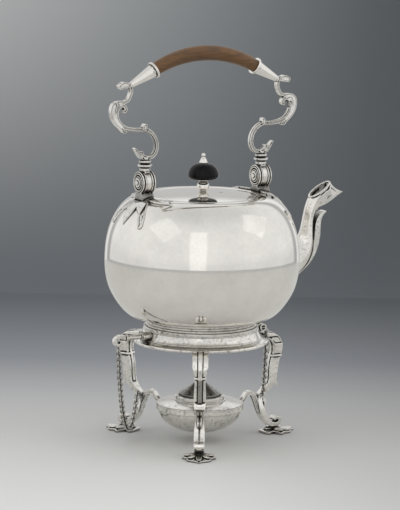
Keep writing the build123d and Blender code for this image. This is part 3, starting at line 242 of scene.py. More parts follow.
def silver_material(name, finish, wear, cloud, patina_and_shade, patina_and_shade_reach, grain, spots=0.0, dimming=0.0,
                    joints=True):
    """Sterling silver, 925 parts in a thousand. Its reflection is bright and faintly warm, cloudy
    where polish has worn, and brown-black in hollows, with patina there and painted shade where
    the hollows are occluded. Wear is how many times rougher than the polish it is, spots are
    places where its surface is pitted and dark, and dimming darkens all of it evenly. Shade at
    joints says whether painted shade also falls where other pieces meet it."""
    roughness = wear * finish.polish
    material, tree, shader = start_material(name)
    place = add(tree, "ShaderNodeTexCoord").outputs["Object"]
    # Clouds of wear some 25 mm across, and flecks of 3 mm
    clouds = add(tree, "ShaderNodeTexNoise", {"Vector": place, "Scale": 1 / (25 * MM), "Detail": 5.0,
                                              "Roughness": 0.6}).outputs["Fac"]
    flecks = add(tree, "ShaderNodeTexNoise", {"Vector": place, "Scale": 1 / (3 * MM), "Detail": 4.0,
                                              "Roughness": 0.65}).outputs["Fac"]
    clean = [c * (1 - dimming) for c in linear(finish.silver)[:3]] + [1.0]
    dull = [c * (1 - cloud) for c in clean[:3]] + [1.0]
    worn = add(tree, "ShaderNodeValToRGB", {"Fac": clouds},
               stops=[(0.36, clean), (0.68, dull)]).outputs["Color"]
    fleck_tone = add(tree, "ShaderNodeValToRGB", {"Fac": flecks},
                     stops=[(0.45, grey(1.0)), (0.72, grey(1 - 0.5 * cloud))]).outputs["Color"]
    surface = add(tree, "ShaderNodeMixRGB", {"Fac": 1.0, "Color1": worn, "Color2": fleck_tone},
                  blend_type="MULTIPLY").outputs["Color"]
    # Painted shade and patina: occlusion within the reach and the hollow mark darken the colour towards the
    # patina colour, and with shade at joints the other pieces occlude it too
    hollow = add(tree, "ShaderNodeAmbientOcclusion", {"Distance": patina_and_shade_reach}, samples=8,
                 only_local=not joints).outputs["AO"]
    groove = add(tree, "ShaderNodeAttribute", attribute_name="hollow").outputs["Fac"]
    clear = add(tree, "ShaderNodeMath", {0: 1.0, 1: groove}, operation="SUBTRACT").outputs["Value"]
    hollow = add(tree, "ShaderNodeMath", {0: hollow, 1: clear}, operation="MULTIPLY").outputs["Value"]
    open_share = add(tree, "ShaderNodeValToRGB", {"Fac": hollow},
                     stops=[(0.36, grey(1 - patina_and_shade)), (0.90, grey(1.0))]).outputs["Color"]
    if spots:
        # Pits from half a millimetre to 3 mm across, gathered in patches
        pits = add(tree, "ShaderNodeTexNoise", {"Vector": place, "Scale": 1 / (2.4 * MM), "Detail": 6.0,
                                                "Roughness": 0.7}).outputs["Fac"]
        pitted = add(tree, "ShaderNodeValToRGB", {"Fac": pits},
                     stops=[(0.54, grey(1.0)), (0.66, grey(1 - spots))]).outputs["Color"]
        open_share = add(tree, "ShaderNodeMixRGB", {"Fac": 1.0, "Color1": open_share, "Color2": pitted},
                         blend_type="MULTIPLY").outputs["Color"]
    colour = add(tree, "ShaderNodeMixRGB", {"Fac": open_share, "Color1": linear(finish.tarnish_and_shade),
                                            "Color2": surface}).outputs["Color"]
    rough = add(tree, "ShaderNodeMapRange",
                {"Value": clouds, "From Min": 0.3, "From Max": 0.7, "To Min": roughness,
                 "To Max": 1.7 * roughness}).outputs["Result"]
    rough = add(tree, "ShaderNodeMath", {0: rough, 1: open_share}, operation="DIVIDE").outputs["Value"]
    # Hammer and polishing marks about 1.2 mm apart, too shallow to see except in the gloss
    marks = add(tree, "ShaderNodeTexNoise", {"Vector": place, "Scale": 1 / (1.2 * MM), "Detail": 2.0})
    bump = add(tree, "ShaderNodeBump", {"Strength": grain, "Distance": 0.02 * MM,
                                        "Height": marks.outputs["Fac"]}).outputs["Normal"]
    shader.inputs["Metallic"].default_value = 1.0
    feed(tree, shader, Base_Color=colour, Roughness=rough, Normal=bump)
    return material


def grip_wood_material(finish):
    """Fruitwood, turned, bent to its bow and waxed: warm mid brown with long dark figure."""
    material, tree, shader = start_material("fruitwood_waxed")
    place = add(tree, "ShaderNodeTexCoord").outputs["Object"]
    # The grain runs along the grip, so its lines are stretched to 12 times their 1.6 mm spacing
    along = add(tree, "ShaderNodeMapping", {"Vector": place, "Scale": (1 / 12, 1, 1)}).outputs["Vector"]
    figure = add(tree, "ShaderNodeTexNoise", {"Vector": along, "Scale": 1 / (1.6 * MM), "Detail": 6.0,
                                              "Roughness": 0.62, "Distortion": 0.4}).outputs["Fac"]
    wear = add(tree, "ShaderNodeTexNoise", {"Vector": place, "Scale": 1 / (18 * MM),
                                            "Detail": 3.0}).outputs["Fac"]
    colour = add(tree, "ShaderNodeValToRGB", {"Fac": figure},
                 stops=[(0.30, linear(finish.wood_dark)), (0.60, linear(finish.wood))]).outputs["Color"]
    handled = add(tree, "ShaderNodeValToRGB", {"Fac": wear},
                  stops=[(0.38, grey(0.80)), (0.66, grey(1.2))]).outputs["Color"]
    colour = add(tree, "ShaderNodeMixRGB", {"Fac": 1.0, "Color1": colour, "Color2": handled},
                 blend_type="MULTIPLY").outputs["Color"]
    rough = add(tree, "ShaderNodeMapRange", {"Value": figure, "To Min": 0.44,
                                             "To Max": 0.3}).outputs["Result"]
    bump = add(tree, "ShaderNodeBump", {"Strength": 0.35, "Distance": 0.08 * MM, "Height": figure})
    feed(tree, shader, Base_Color=colour, Roughness=rough, Normal=bump.outputs["Normal"])
    shader.inputs["IOR"].default_value = 1.5
    return material


def ebony_material(finish):
    """Ebony, turned and polished: near black, with a soft waxy gloss and a trace of brown figure."""
    material, tree, shader = start_material("ebony_polished")
    place = add(tree, "ShaderNodeTexCoord").outputs["Object"]
    along = add(tree, "ShaderNodeMapping", {"Vector": place, "Scale": (1, 1, 1 / 8)}).outputs["Vector"]
    figure = add(tree, "ShaderNodeTexNoise", {"Vector": along, "Scale": 1 / (0.9 * MM),
                                              "Detail": 5.0}).outputs["Fac"]
    dark = linear(finish.ebony)
    brown = [min(1, c * k) for c, k in zip(dark, (2.4, 2.0, 1.8, 1))]
    colour = add(tree, "ShaderNodeValToRGB", {"Fac": figure},
                 stops=[(0.42, dark), (0.75, brown)]).outputs["Color"]
    rough = add(tree, "ShaderNodeMapRange", {"Value": figure, "To Min": 0.16,
                                             "To Max": 0.3}).outputs["Result"]
    bump = add(tree, "ShaderNodeBump", {"Strength": 0.2, "Distance": 0.04 * MM, "Height": figure})
    feed(tree, shader, Base_Color=colour, Roughness=rough, Normal=bump.outputs["Normal"])
    shader.inputs["IOR"].default_value = 1.54
    shader.inputs["Specular IOR Level"].default_value = 0.15
    return material


def wick_material(finish):
    """Cotton wick, plaited: off-white yarns about 0.7 mm wide that cross at a slant."""
    material, tree, shader = start_material("cotton_plaited")
    place = add(tree, "ShaderNodeTexCoord").outputs["Object"]
    weave = add(tree, "ShaderNodeTexVoronoi", {"Vector": place, "Scale": 1 / (0.7 * MM)}).outputs["Distance"]
    cotton = linear(finish.cotton)
    shadow = [0.45 * c for c in cotton[:3]] + [1.0]
    colour = add(tree, "ShaderNodeValToRGB", {"Fac": weave},
                 stops=[(0.0, cotton), (0.7, shadow)]).outputs["Color"]
    bump = add(tree, "ShaderNodeBump", {"Strength": 0.6, "Distance": 0.2 * MM, "Height": weave}, invert=True)
    feed(tree, shader, Base_Color=colour, Normal=bump.outputs["Normal"])
    shader.inputs["Roughness"].default_value = 0.95
    return material


# How each silver finish differs in wear, in its patina and painted shade in hollows and at joints,
# and in dimming: belly and lid, castings, ring and lamp, lamp cap, and chains
SILVERS = {
    "silver_burnished": dict(wear=1.0, cloud=0.10, patina_and_shade=0.85, patina_and_shade_reach=3 * MM, grain=0.10, joints=False),
    "silver_cast": dict(wear=1.5, cloud=0.22, patina_and_shade=0.97, patina_and_shade_reach=6 * MM, grain=0.5, spots=0.45),
    "silver_worn": dict(wear=1.6, cloud=0.26, patina_and_shade=0.93, patina_and_shade_reach=5 * MM, grain=0.5, spots=0.65),
    "silver_sooted": dict(wear=2.2, cloud=0.45, patina_and_shade=0.95, patina_and_shade_reach=8 * MM, grain=0.5, spots=0.5,
                          dimming=0.55),
    # The chains are dimmed by a fifth all over
    "silver_linked": dict(wear=1.6, cloud=0.30, patina_and_shade=0.97, patina_and_shade_reach=4 * MM, grain=0.5, spots=0.3,
                          dimming=0.2),
}
OTHER_FINISHES = {
    "fruitwood_waxed": grip_wood_material,
    "ebony_polished": ebony_material,
    "cotton_plaited": wick_material,
}


def finish_of(name):
    """The named material, made on first use."""
    if name in bpy.data.materials:
        return bpy.data.materials[name]
    finish = bpy.context.scene.kettle_finish
    if name in SILVERS:
        return silver_material(name, finish, **SILVERS[name])
    return OTHER_FINISHES[name](finish)


SLOT_FINISH = {
    "polished_silver": "silver_burnished",
    "cast_silver": "silver_cast",
    "grip_wood": "fruitwood_waxed",
    "knob_ebony": "ebony_polished",
    "wick_cotton": "cotton_plaited",
}
SLOT_OF = {entry["node"]: entry["material_slot"] for entry in frame["record"]["subparts"]}
BODY_OF = {node: body for body, nodes in frame["record"]["behaviour"]["bodies"].items() for node in nodes}


# Making pieces


def merged_copy(*nodes):
    """The shape of one or more CAD nodes as a welded bmesh."""
    bm = bmesh.new()
    for node in nodes:
        bm.from_mesh(NODES[node].data)
    bmesh.ops.remove_doubles(bm, verts=bm.verts, dist=WELD)
    return bm


def mesh_of(bm, name):
    """A finished bmesh as a mesh."""
    mesh = bpy.data.meshes.new(name)
    bm.to_mesh(mesh)
    bm.free()
    return mesh


def place_object(name, data):
    """A new object in the scene that holds the data."""
    thing = bpy.data.objects.new(name, data)
    bpy.context.scene.collection.objects.link(thing)
    return thing


def shade_smooth(mesh):
    """Shades all faces of a mesh as parts of one smooth surface."""
    mesh.polygons.foreach_set("use_smooth", [True] * len(mesh.polygons))


def to_piece(bm, name, node, finish=None):
    """A finished bmesh as an object that stands for a CAD node and rides with it."""
    mesh = mesh_of(bm, name)
    piece = place_object(name, mesh)
    shade_smooth(mesh)
    slot = SLOT_OF[node]
    mesh.materials.append(finish_of(finish or SLOT_FINISH[slot]))
    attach(piece, BODY_OF[node])
    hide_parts(node)
    return piece


def sharp_edges(bm, degrees):
    """The edges at which a surface bends by more than the angle."""
    limit = math.radians(degrees)
    return [e for e in bm.edges if len(e.link_faces) == 2 and e.calc_face_angle(0) > limit]


def turned(node, name, azimuth=0.0, cutters=(), others=(), finish=None):
    """A turned piece: the section of its nodes at an azimuth, spun round the axis, with rounded
    edges and with holes where the cutters are."""
    form = bpy.context.scene.kettle_form
    bm = merged_copy(node, *others)
    bmesh.ops.rotate(bm, verts=bm.verts, cent=(0, 0, 0), matrix=Matrix.Rotation(-azimuth, 3, "Z"))
    for normal, keep_cut in (((1, 0, 0), False), ((0, 1, 0), True)):
        bmesh.ops.bisect_plane(bm, geom=bm.verts[:] + bm.edges[:] + bm.faces[:], dist=WELD,
                               plane_co=(0, 0, 0), plane_no=normal, clear_inner=True, clear_outer=keep_cut)
    bmesh.ops.delete(bm, geom=bm.faces[:], context="FACES_ONLY")
    axis_edges = [e for e in bm.edges if all(v.co.x < 10 * WELD for v in e.verts)]
    bmesh.ops.delete(bm, geom=axis_edges, context="EDGES")
    bmesh.ops.remove_doubles(bm, verts=bm.verts, dist=0.02 * MM)
    for other in others:
        open_seam(bm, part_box(other)[0].z)
    straighten(bm)
    bmesh.ops.spin(bm, geom=bm.verts[:] + bm.edges[:], cent=(0, 0, 0), axis=(0, 0, 1),
                   dvec=(0, 0, 0), angle=2 * math.pi, steps=form.turned_steps, use_merge=True,
                   use_duplicate=False)
    bmesh.ops.remove_doubles(bm, verts=bm.verts, dist=WELD)
    bmesh.ops.recalc_face_normals(bm, faces=bm.faces)
    edges = sharp_edges(bm, EDGE_BEND)
    if edges:
        bmesh.ops.bevel(bm, geom=edges, offset=form.edge_round, segments=2, affect="EDGES",
                        profile=0.5, material=-1, clamp_overlap=True)
    piece = to_piece(bm, name, node, finish)
    for other in others:
        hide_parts(other)
    for cutter in cutters:
        cut_hole(piece, cutter)
    even = piece.modifiers.new("even", "WEIGHTED_NORMAL")
    even.weight = 100
    even.keep_sharp = True
    bake_modifiers(piece)
    return piece


def open_seam(bm, height):
    """Takes out the lines of a section where two nodes meet, so that one wall runs through both."""
    shared = [e for e in bm.edges if all(abs(v.co.z - height) < 10 * WELD for v in e.verts)]
    bmesh.ops.delete(bm, geom=shared, context="EDGES")


def straighten(bm):
    """Takes out points of a section that lie in line with their neighbours."""
    flat = [v for v in bm.verts if len(v.link_edges) == 2 and in_line(v)]
    bmesh.ops.dissolve_verts(bm, verts=flat)


def in_line(vert):
    """Whether a point's two neighbours and the point lie in one straight line."""
    ends = [edge.other_vert(vert).co - vert.co for edge in vert.link_edges]
    return ends[0].length > 0 and ends[1].length > 0 and ends[0].angle(ends[1]) > math.radians(179.6)


def cut_hole(piece, cutter):
    """Cuts a piece with a closed bmesh."""
    tool = place_object("cutter", mesh_of(cutter, "cutter"))
    cut = piece.modifiers.new("cut", "BOOLEAN")
    cut.object = tool
    cut.operation = "DIFFERENCE"
    cut.solver = "EXACT"
    bake_modifiers(piece)
    bpy.data.objects.remove(tool)


def bake_modifiers(piece):
    """Puts what a piece's modifiers make into its mesh."""
    bpy.context.view_layer.update()
    graph = bpy.context.evaluated_depsgraph_get()
    mesh = bpy.data.meshes.new_from_object(piece.evaluated_get(graph))
    piece.modifiers.clear()
    piece.data = mesh
    shade_smooth(mesh)


def cast(node, name, cell=1.0, soften=3, side=None, sink=0.3 * MM, least=3 * MM, extra=None,
         full=0.05 * MM):
    """A cast piece: the node's solid with any extra ornament, remade in cells of that share of the
    usual size and softened as a wax pattern is. Flat sides that face the side direction are sunk
    inside a raised edge, where they are larger than a square of the least side. Hollows deeper than
    full get the darkest patina and painted shade."""
    form = bpy.context.scene.kettle_form
    bm = merged_copy(node)
    if side is not None:
        sink_sides(bm, side, 0.55 * MM, sink, least)
    if extra:
        extra(bm)
    piece = to_piece(bm, name, node)
    remake = piece.modifiers.new("remake", "REMESH")
    remake.mode = "VOXEL"
    remake.voxel_size = cell * form.cast_cell
    remake.use_smooth_shade = True
    smooth = piece.modifiers.new("soften", "SMOOTH")
    smooth.factor = 0.5
    smooth.iterations = soften
    bake_modifiers(piece)
    mark_hollows(piece.data, full)
    return piece


def sink_sides(bm, side, rim, depth, least):
    """Sinks the flat faces across a direction, which leaves a raised rim round each of them."""
    bmesh.ops.dissolve_limit(bm, angle_limit=math.radians(1), verts=bm.verts, edges=bm.edges)
    flat = [f for f in bm.faces if abs(f.normal.dot(side)) > 0.999 and f.calc_area() > least ** 2]
    bmesh.ops.inset_individual(bm, faces=flat, thickness=rim, depth=-depth, use_even_offset=True)


def mark_hollows(mesh, full, rounds=7):
    """Stores how hollow the surface is at each vertex, as a mark for patina and painted shade: 1
    where it lies deeper than full below its surroundings, 0 on what is flat or stands proud."""
    # The surroundings are the surface after some rounds in which each vertex goes to the middle of
    # its neighbours
    count = len(mesh.vertices)
    places = np.empty(3 * count)
    mesh.vertices.foreach_get("co", places)
    places = places.reshape(-1, 3)
    normals = np.empty(3 * count)
    mesh.vertex_normals.foreach_get("vector", normals)
    normals = normals.reshape(-1, 3)
    ends = np.empty(2 * len(mesh.edges), dtype=np.int64)
    mesh.edges.foreach_get("vertices", ends)
    ends = ends.reshape(-1, 2)
    near = np.maximum(np.bincount(ends.ravel(), minlength=count), 1)
    smooth = places.copy()
    for _ in range(rounds):
        total = np.empty_like(smooth)
        for axis in range(3):
            total[:, axis] = np.bincount(ends[:, 0], smooth[ends[:, 1], axis], count)
            total[:, axis] += np.bincount(ends[:, 1], smooth[ends[:, 0], axis], count)
        smooth = total / near[:, None]
    depth = ((smooth - places) * normals).sum(axis=1) / full
    layer = mesh.attributes.new("hollow", "FLOAT", "POINT")
    layer.data.foreach_set("value", np.clip(depth, 0, 1).astype(np.float32))


def tarnish_and_shade(piece, place, amount):
    """Adds painted shade to the vertices for which place(point, normal) is true, by raising their
    hollow mark to the amount.
    """
    layer = piece.data.attributes["hollow"]
    for vert, mark in zip(piece.data.vertices, layer.data):
        if place(vert.co, vert.normal):
            mark.value = max(mark.value, amount)


def wire(bm, points, radii, closed=False):
    """Adds a round wire along the smooth line that the points guide, with a radius at each."""
    curve = bpy.data.curves.new("wire", "CURVE")
    curve.dimensions = "3D"
    curve.bevel_depth = 1.0
    curve.bevel_resolution = 1
    curve.use_fill_caps = not closed
    spline = curve.splines.new("NURBS")
    spline.points.add(len(points) - 1)
    for point, place, radius in zip(spline.points, points, radii):
        point.co = (*place, 1)
        point.radius = radius
    spline.order_u = 3
    spline.resolution_u = 4
    spline.use_endpoint_u = not closed
    spline.use_cyclic_u = closed
    holder = bpy.data.objects.new("wire", curve)
    mesh = bpy.data.meshes.new_from_object(holder)
    bm.from_mesh(mesh)
    bpy.data.objects.remove(holder)
    bpy.data.meshes.remove(mesh)
    bpy.data.curves.remove(curve)


def linked_chain(node, name):
    """A chain of round wire links, one in each link of the node."""
    source = merged_copy(node)
    bm = bmesh.new()
    for verts in loose_parts(source):
        add_link(bm, np.array([v.co for v in verts]))
    source.free()
    mesh = mesh_of(bm, name)
    shade_smooth(mesh)
    piece = place_object(name, mesh)
    mesh.materials.append(finish_of("silver_linked"))
    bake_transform(piece)
    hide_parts(node)
    return piece


def loose_parts(bm):
    """The vertices of each separate part of a bmesh."""
    seen, parts = set(), []
    for seed in bm.verts:
        if seed in seen:
            continue
        part, queue = [], [seed]
        seen.add(seed)
        while queue:
            vert = queue.pop()
            part.append(vert)
            for edge in vert.link_edges:
                other = edge.other_vert(vert)
                if other not in seen:
                    seen.add(other)
                    queue.append(other)
        parts.append(part)
    return parts


def add_link(bm, points):
    """Adds a link of round wire in place of the link that the points belong to. It is a little wider,
    so that its opening shows beside the next link."""
    thick = bpy.context.scene.kettle_form.link_wire / 2
    middle = points.mean(axis=0)
    axes = np.linalg.svd(points - middle, full_matrices=False)[2]
    reach = np.abs((points - middle) @ axes.T).max(axis=0)
    half_long, half_wide = reach[0] - 0.1 * MM, reach[1] + 0.3 * MM
    line = [middle + axes[0] * half_long * along + axes[1] * half_wide * across
            for along, across in LINK_OUTLINE]
    wire(bm, line, [thick] * len(line), closed=True)


def leaf_lobes(azimuth):
    """Ornament for a foot: leaves that spread from its crown and curl up at their tips."""
    low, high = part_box("foot_spout")
    heel, long = low.x, high.x - low.x
    to_leg = Matrix.Rotation(azimuth, 4, "Z")

    def add_lobes(bm):
        # The pad under the leaves is lowered, so that they stand out from it
        bmesh.ops.scale(bm, verts=bm.verts, vec=(1, 1, PAD_SQUASH))
        for turn, reach, width, lift in FOOT_LEAVES:
            lobe = bmesh.ops.create_icosphere(bm, subdivisions=2, radius=1)["verts"]
            half = reach * long / 2
            bmesh.ops.scale(bm, verts=lobe, vec=(half, width / 2 * MM, LEAF_THICK / 2))
            bmesh.ops.translate(bm, verts=lobe, vec=(half, 0, 0))
            for vert in lobe:
                vert.co.z += lift * MM * (vert.co.x / (2 * half)) ** 3
            root = Matrix.Translation((heel + LEAF_ROOT * long, 0, LEAF_ROOT_HEIGHT))
            fall = Matrix.Rotation(math.radians(turn), 4, "Z") @ Matrix.Rotation(LEAF_FALL, 4, "Y")
            bmesh.ops.transform(bm, matrix=to_leg @ root @ fall, verts=lobe)
        crown = bmesh.ops.create_icosphere(bm, subdivisions=3, radius=1)["verts"]
        bmesh.ops.scale(bm, verts=crown, vec=(CROWN_HALF_LONG * long, CROWN_HALF_WIDE, CROWN_HEIGHT))
        middle = Matrix.Translation((heel + CROWN_PLACE * long, 0, 0))
        bmesh.ops.transform(bm, matrix=to_leg @ middle, verts=crown)
        # What would reach below the table is pressed flat
        for vert in bm.verts:
            vert.co.z = max(vert.co.z, 0)
    return add_lobes


def drum_rings(bm, centre):
    """Rings on a bracket's drum: round its ends, round its side and on its outer faces."""
    # Place along the drum in mm, radius, and half thickness in mm
    bands = [(at, DRUM_R, 0.62) for at in (-5.6, -3.2, 3.2, 5.6)]
    bands += [(end * 6.2, share * DRUM_R, 0.55) for end in (-1, 1) for share in (0.82, 0.56)]
    for at, radius, thick in bands:
        ring = [centre + Vector((at * MM, radius * math.cos(turn), radius * math.sin(turn)))
                for turn in (2 * math.pi * k / 16 for k in range(16))]
        wire(bm, ring, [thick * MM] * len(ring), closed=True)


def strap_work(bm, centre, side, shoulder):
    """Cast straps that lie over the shoulder from a bracket's foot, on both sides of it. Each point
    of a strap is dropped onto the shoulder from well above."""
    down = Vector((0, 0, -1))
    above = 2 * centre.z
    for line, radii in STRAPS:
        for flip in (-1, 1):
            points = []
            for out, across in line:
                start = Vector((centre.x + side * out * MM, centre.y + flip * across * MM, above))
                hit = shoulder.ray_cast(start, down)[0]
                if hit:
                    points.append(hit + down * STRAP_SINK)
            if len(points) == len(line):
                wire(bm, points, [radius * MM for radius in radii])


def bracket_ornament(side):
    """Ornament for the shoulder bracket on the side of the axis that is given by its sign."""
    shell = merged_copy("kettle_shell_upper")
    shoulder = BVHTree.FromBMesh(shell)
    shell.free()
    low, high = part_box("handle_pin_left" if side < 0 else "handle_pin_right")
    centre = (low + high) / 2

    def add_ornament(bm):
        drum_rings(bm, centre)
        strap_work(bm, centre, side, shoulder)
    return add_ornament


def mouth_ornament(bm):
    """Rolled rim round the spout's mouth, and the flare that carries its beak."""
    oval = [MOUTH @ Vector((MOUTH_LONG * math.cos(turn), MOUTH_WIDE * math.sin(turn), 0.6 * MM))
            for turn in (2 * math.pi * k / 20 for k in range(20))]
    wire(bm, oval, [1.0 * MM] * len(oval), closed=True)
    for side in (-1, 1):
        flare = bmesh.new()
        for x, z, out in FLARE:
            for y in (out, out - FLARE_SHEET):
                flare.verts.new((x * MM, side * y * MM, z * MM))
        made = bmesh.ops.convex_hull(flare, input=flare.verts)
        inner = [part for part in made["geom_interior"] if isinstance(part, bmesh.types.BMVert)]
        bmesh.ops.delete(flare, geom=inner, context="VERTS")
        mesh = mesh_of(flare, "flare")
        bm.from_mesh(mesh)
        bpy.data.meshes.remove(mesh)


def paint_shade_in_mouth(spout):
    """Paints shade inside the spout's mouth."""
    into_mouth = MOUTH.inverted()

    def in_mouth(point, normal):
        place = into_mouth @ point
        away = math.hypot(place.x / MOUTH_LONG, place.y / MOUTH_WIDE)
        return away < 0.88 and -9 * MM < place.z < 1.2 * MM

    tarnish_and_shade(spout, in_mouth, 0.45)


def paint_shadow_on_pedestal(bracket, side):
    """Paints the shadow under a bracket's drum onto its pedestal, between the drum and its foot."""
    low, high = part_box("handle_pin_" + side)
    middle = (low.x + high.x) / 2

    def in_pedestal(point, normal):
        near = math.hypot(point.x - middle, point.y) < 9 * MM
        return near and PEDESTAL_LOW < point.z < PEDESTAL_HIGH

    tarnish_and_shade(bracket, in_pedestal, 0.35)


def darken_leg_strips(leg, across):
    """Darkens a strip down a leg's panel, and paints shade for the groove down its lower shaft."""
    top = max(vert.co.z for vert in leg.data.vertices)
    out = across.cross(Vector((0, 0, 1)))
    for half, low, high, amount in LEG_STRIPS:

        def in_strip(point, normal):
            beside = abs(point.dot(across)) < half * MM and normal.dot(out) > 0.3
            return beside and low * top < point.z < high * top

        tarnish_and_shade(leg, in_strip, amount)


# Operators, one for each piece or group of like pieces


class KETTLE_OT_body(bpy.types.Operator):
    """Turned belly of the kettle with its collet foot and the ledge for the lid"""

    bl_idname = "kettle.body"
    bl_label = "Kettle Body"

    def execute(self, context):
        # The belly's section is taken opposite the spout, where nothing cuts its wall
        turned("kettle_shell_lower", "belly", math.pi, others=["kettle_shell_upper"])
        turned("kettle_foot", "collet_foot", finish="silver_worn")
        turned("kettle_rim", "lid_ledge")
        cast("kettle_hinge_lug", "hinge_lug")
        cast("kettle_catch", "lock_catch")
        return {"FINISHED"}


class KETTLE_OT_spout(bpy.types.Operator):
    """Cast swan-neck spout with its leaf and beak"""

    bl_idname = "kettle.spout"
    bl_label = "Spout"

    def execute(self, context):
        spout = cast("spout", "swan_neck_spout", soften=4, extra=mouth_ornament, full=0.08 * MM)
        paint_shade_in_mouth(spout)
        return {"FINISHED"}


class KETTLE_OT_lid(bpy.types.Operator):
    """Low domed lid with its steam vent, skirt and turned knob"""

    bl_idname = "kettle.lid"
    bl_label = "Lid and Knob"

    def execute(self, context):
        vent = bmesh.new()
        bmesh.ops.create_cone(vent, cap_ends=True, segments=32, radius1=VENT_R, radius2=VENT_R, depth=20 * MM)
        bmesh.ops.translate(vent, verts=vent.verts, vec=VENT_PLACE)
        # The lid's section is taken away from the vent, which is then cut
        turned("lid_plate", "lid_dome", math.radians(90), [vent])
        for node, name in (("lid_skirt", "lid_skirt_band"),
                           ("knob_stem", "knob_ball"),
                           ("knob_wood", "knob_dome"),
                           ("knob_washer", "knob_cone"),
                           ("knob_finial", "knob_button")):
            turned(node, name)
        cast("knob_nut", "knob_nut_underneath", cell=0.6, soften=1)
        return {"FINISHED"}


class KETTLE_OT_handle(bpy.types.Operator):
    """Scrolled handle arms, their ferrules, shoulder brackets, pins and the wooden grip"""

    bl_idname = "kettle.handle"
    bl_label = "Handle"

    def execute(self, context):
        for side in SIDES:
            bracket = cast("shoulder_bracket_" + side, "bracket_" + side, cell=0.85, soften=2,
                           extra=bracket_ornament(-1 if side == "left" else 1))
            paint_shadow_on_pedestal(bracket, side)
            cast("handle_pin_" + side, "hinge_rivet_" + side, cell=0.6, soften=2)
            cast("handle_arm_" + side, "scroll_arm_" + side, cell=0.7, soften=2, side=Vector((0, 1, 0)))
            cast("ferrule_" + side, "octagon_ferrule_" + side, cell=0.8, soften=1)
            cast("ferrule_pin_" + side, "ferrule_rivet_" + side, cell=0.4, soften=1)
        cast("grip", "bowed_grip", soften=6)
        return {"FINISHED"}


class KETTLE_OT_stand(bpy.types.Operator):
    """Stand ring with its hinge, scroll legs, leaf feet and lamp arms, and the pins with their staples"""

    bl_idname = "kettle.stand"
    bl_label = "Stand"

    def execute(self, context):
        # The ring's section is taken between two legs
        turned("stand_ring", "gallery_ring", math.radians(60), finish="silver_worn")
        for leg, azimuth in LEGS.items():
            side = Vector((-math.sin(azimuth), math.cos(azimuth), 0))
            piece = cast("leg_" + leg, "scroll_leg_" + leg, side=side, sink=0.4 * MM, least=9 * MM)
            darken_leg_strips(piece, side)
            cast("foot_" + leg, "leaf_foot_" + leg, extra=leaf_lobes(azimuth))
            cast("lamp_arm_" + leg, "lamp_bracket_" + leg, soften=2, side=side, least=9 * MM)
        for node, name in (("stand_knuckle_front", "knuckle_near"),
                           ("stand_knuckle_back", "knuckle_far"),
                           ("lock_guide", "pin_guide"),
                           ("lock_pin", "scroll_pin"),
                           ("hinge_pin", "cupped_pin"),
                           ("chain_staple_spout", "staple_spout"),
                           ("chain_staple_rear", "staple_rear")):
            cast(node, name, cell=0.55, soften=2)
        return {"FINISHED"}


class KETTLE_OT_chains(bpy.types.Operator):
    """The two chains that keep the pins with the stand"""

    bl_idname = "kettle.chains"
    bl_label = "Pin Chains"

    def execute(self, context):
        for node, name, body in (("hinge_chain", "hinge_pin_chain", "hinge_pin"),
                                 ("lock_chain", "lock_pin_chain", "lock_pin")):
            linked_chain(node, name)
        return {"FINISHED"}


class KETTLE_OT_lamp(bpy.types.Operator):
    """Spirit lamp: its bowl in the cradle, cover, wick and stepped cap"""

    bl_idname = "kettle.lamp"
    bl_label = "Spirit Lamp"

    def execute(self, context):
        for node, name, finish in (("lamp_cradle", "cradle_band", "silver_worn"),
                                   ("lamp_bowl", "spirit_bowl", "silver_worn"),
                                   ("lamp_cover", "burner_cover", "silver_worn"),
                                   ("wick_tube", "burner_tube", "silver_sooted"),
                                   ("wick", "plaited_wick", None),
                                   ("lamp_cap", "stepped_snuffer", "silver_sooted"),
                                   ("lamp_cap_knob", "snuffer_knob", "silver_sooted")):
            turned(node, name, finish=finish)
        return {"FINISHED"}


class KETTLE_OT_studio(bpy.types.Operator):
    """Sweep of floor and backdrop with painted light and shade, soft lights and the camera"""

    bl_idname = "kettle.studio"
    bl_label = "Studio"

    def execute(self, context):
        studio = context.scene.kettle_studio
        forward = Vector((-math.cos(studio.azimuth), -math.sin(studio.azimuth), 0))
        make_sweep(forward)
        make_lights(forward, studio.light)
        make_world(context.scene, forward)
        make_camera(context.scene, studio, forward)
        context.scene.view_settings.view_transform = "Standard"
        return {"FINISHED"}


def make_sweep(forward):
    """Floor that curves up into a backdrop, with painted light and shade that make it pale near the
    kettle and grey behind it. What the silver reflects is the round table under it, with a greyer
    edge that shows as a thin line."""
    bend_steps = 16
    rise = [(WALL_DEPTH - WALL_BEND, 0.0)]
    for step in range(1, bend_steps + 1):
        turn = math.pi / 2 * step / bend_steps
        depth = WALL_DEPTH - WALL_BEND + WALL_BEND * math.sin(turn)
        rise.append((depth, WALL_BEND * (1 - math.cos(turn))))
    rise.append((WALL_DEPTH, WALL_HEIGHT))
    paper = paper_material()
    floor = stage_sheet("floor", [(FLOOR_NEAR, 0.0), rise[0]], forward, paper)
    backdrop = stage_sheet("backdrop", rise, forward, paper)
    floor.visible_glossy = False
    backdrop.visible_glossy = False
    backdrop.visible_diffuse = False
    backdrop.visible_shadow = False
    table = table_ring("table", 0, TABLE_R, 2 * math.pi, forward, table_material())
    edge = table_ring("table_edge", TABLE_R, TABLE_EDGE_R, TABLE_EDGE_TURN, forward, edge_material())


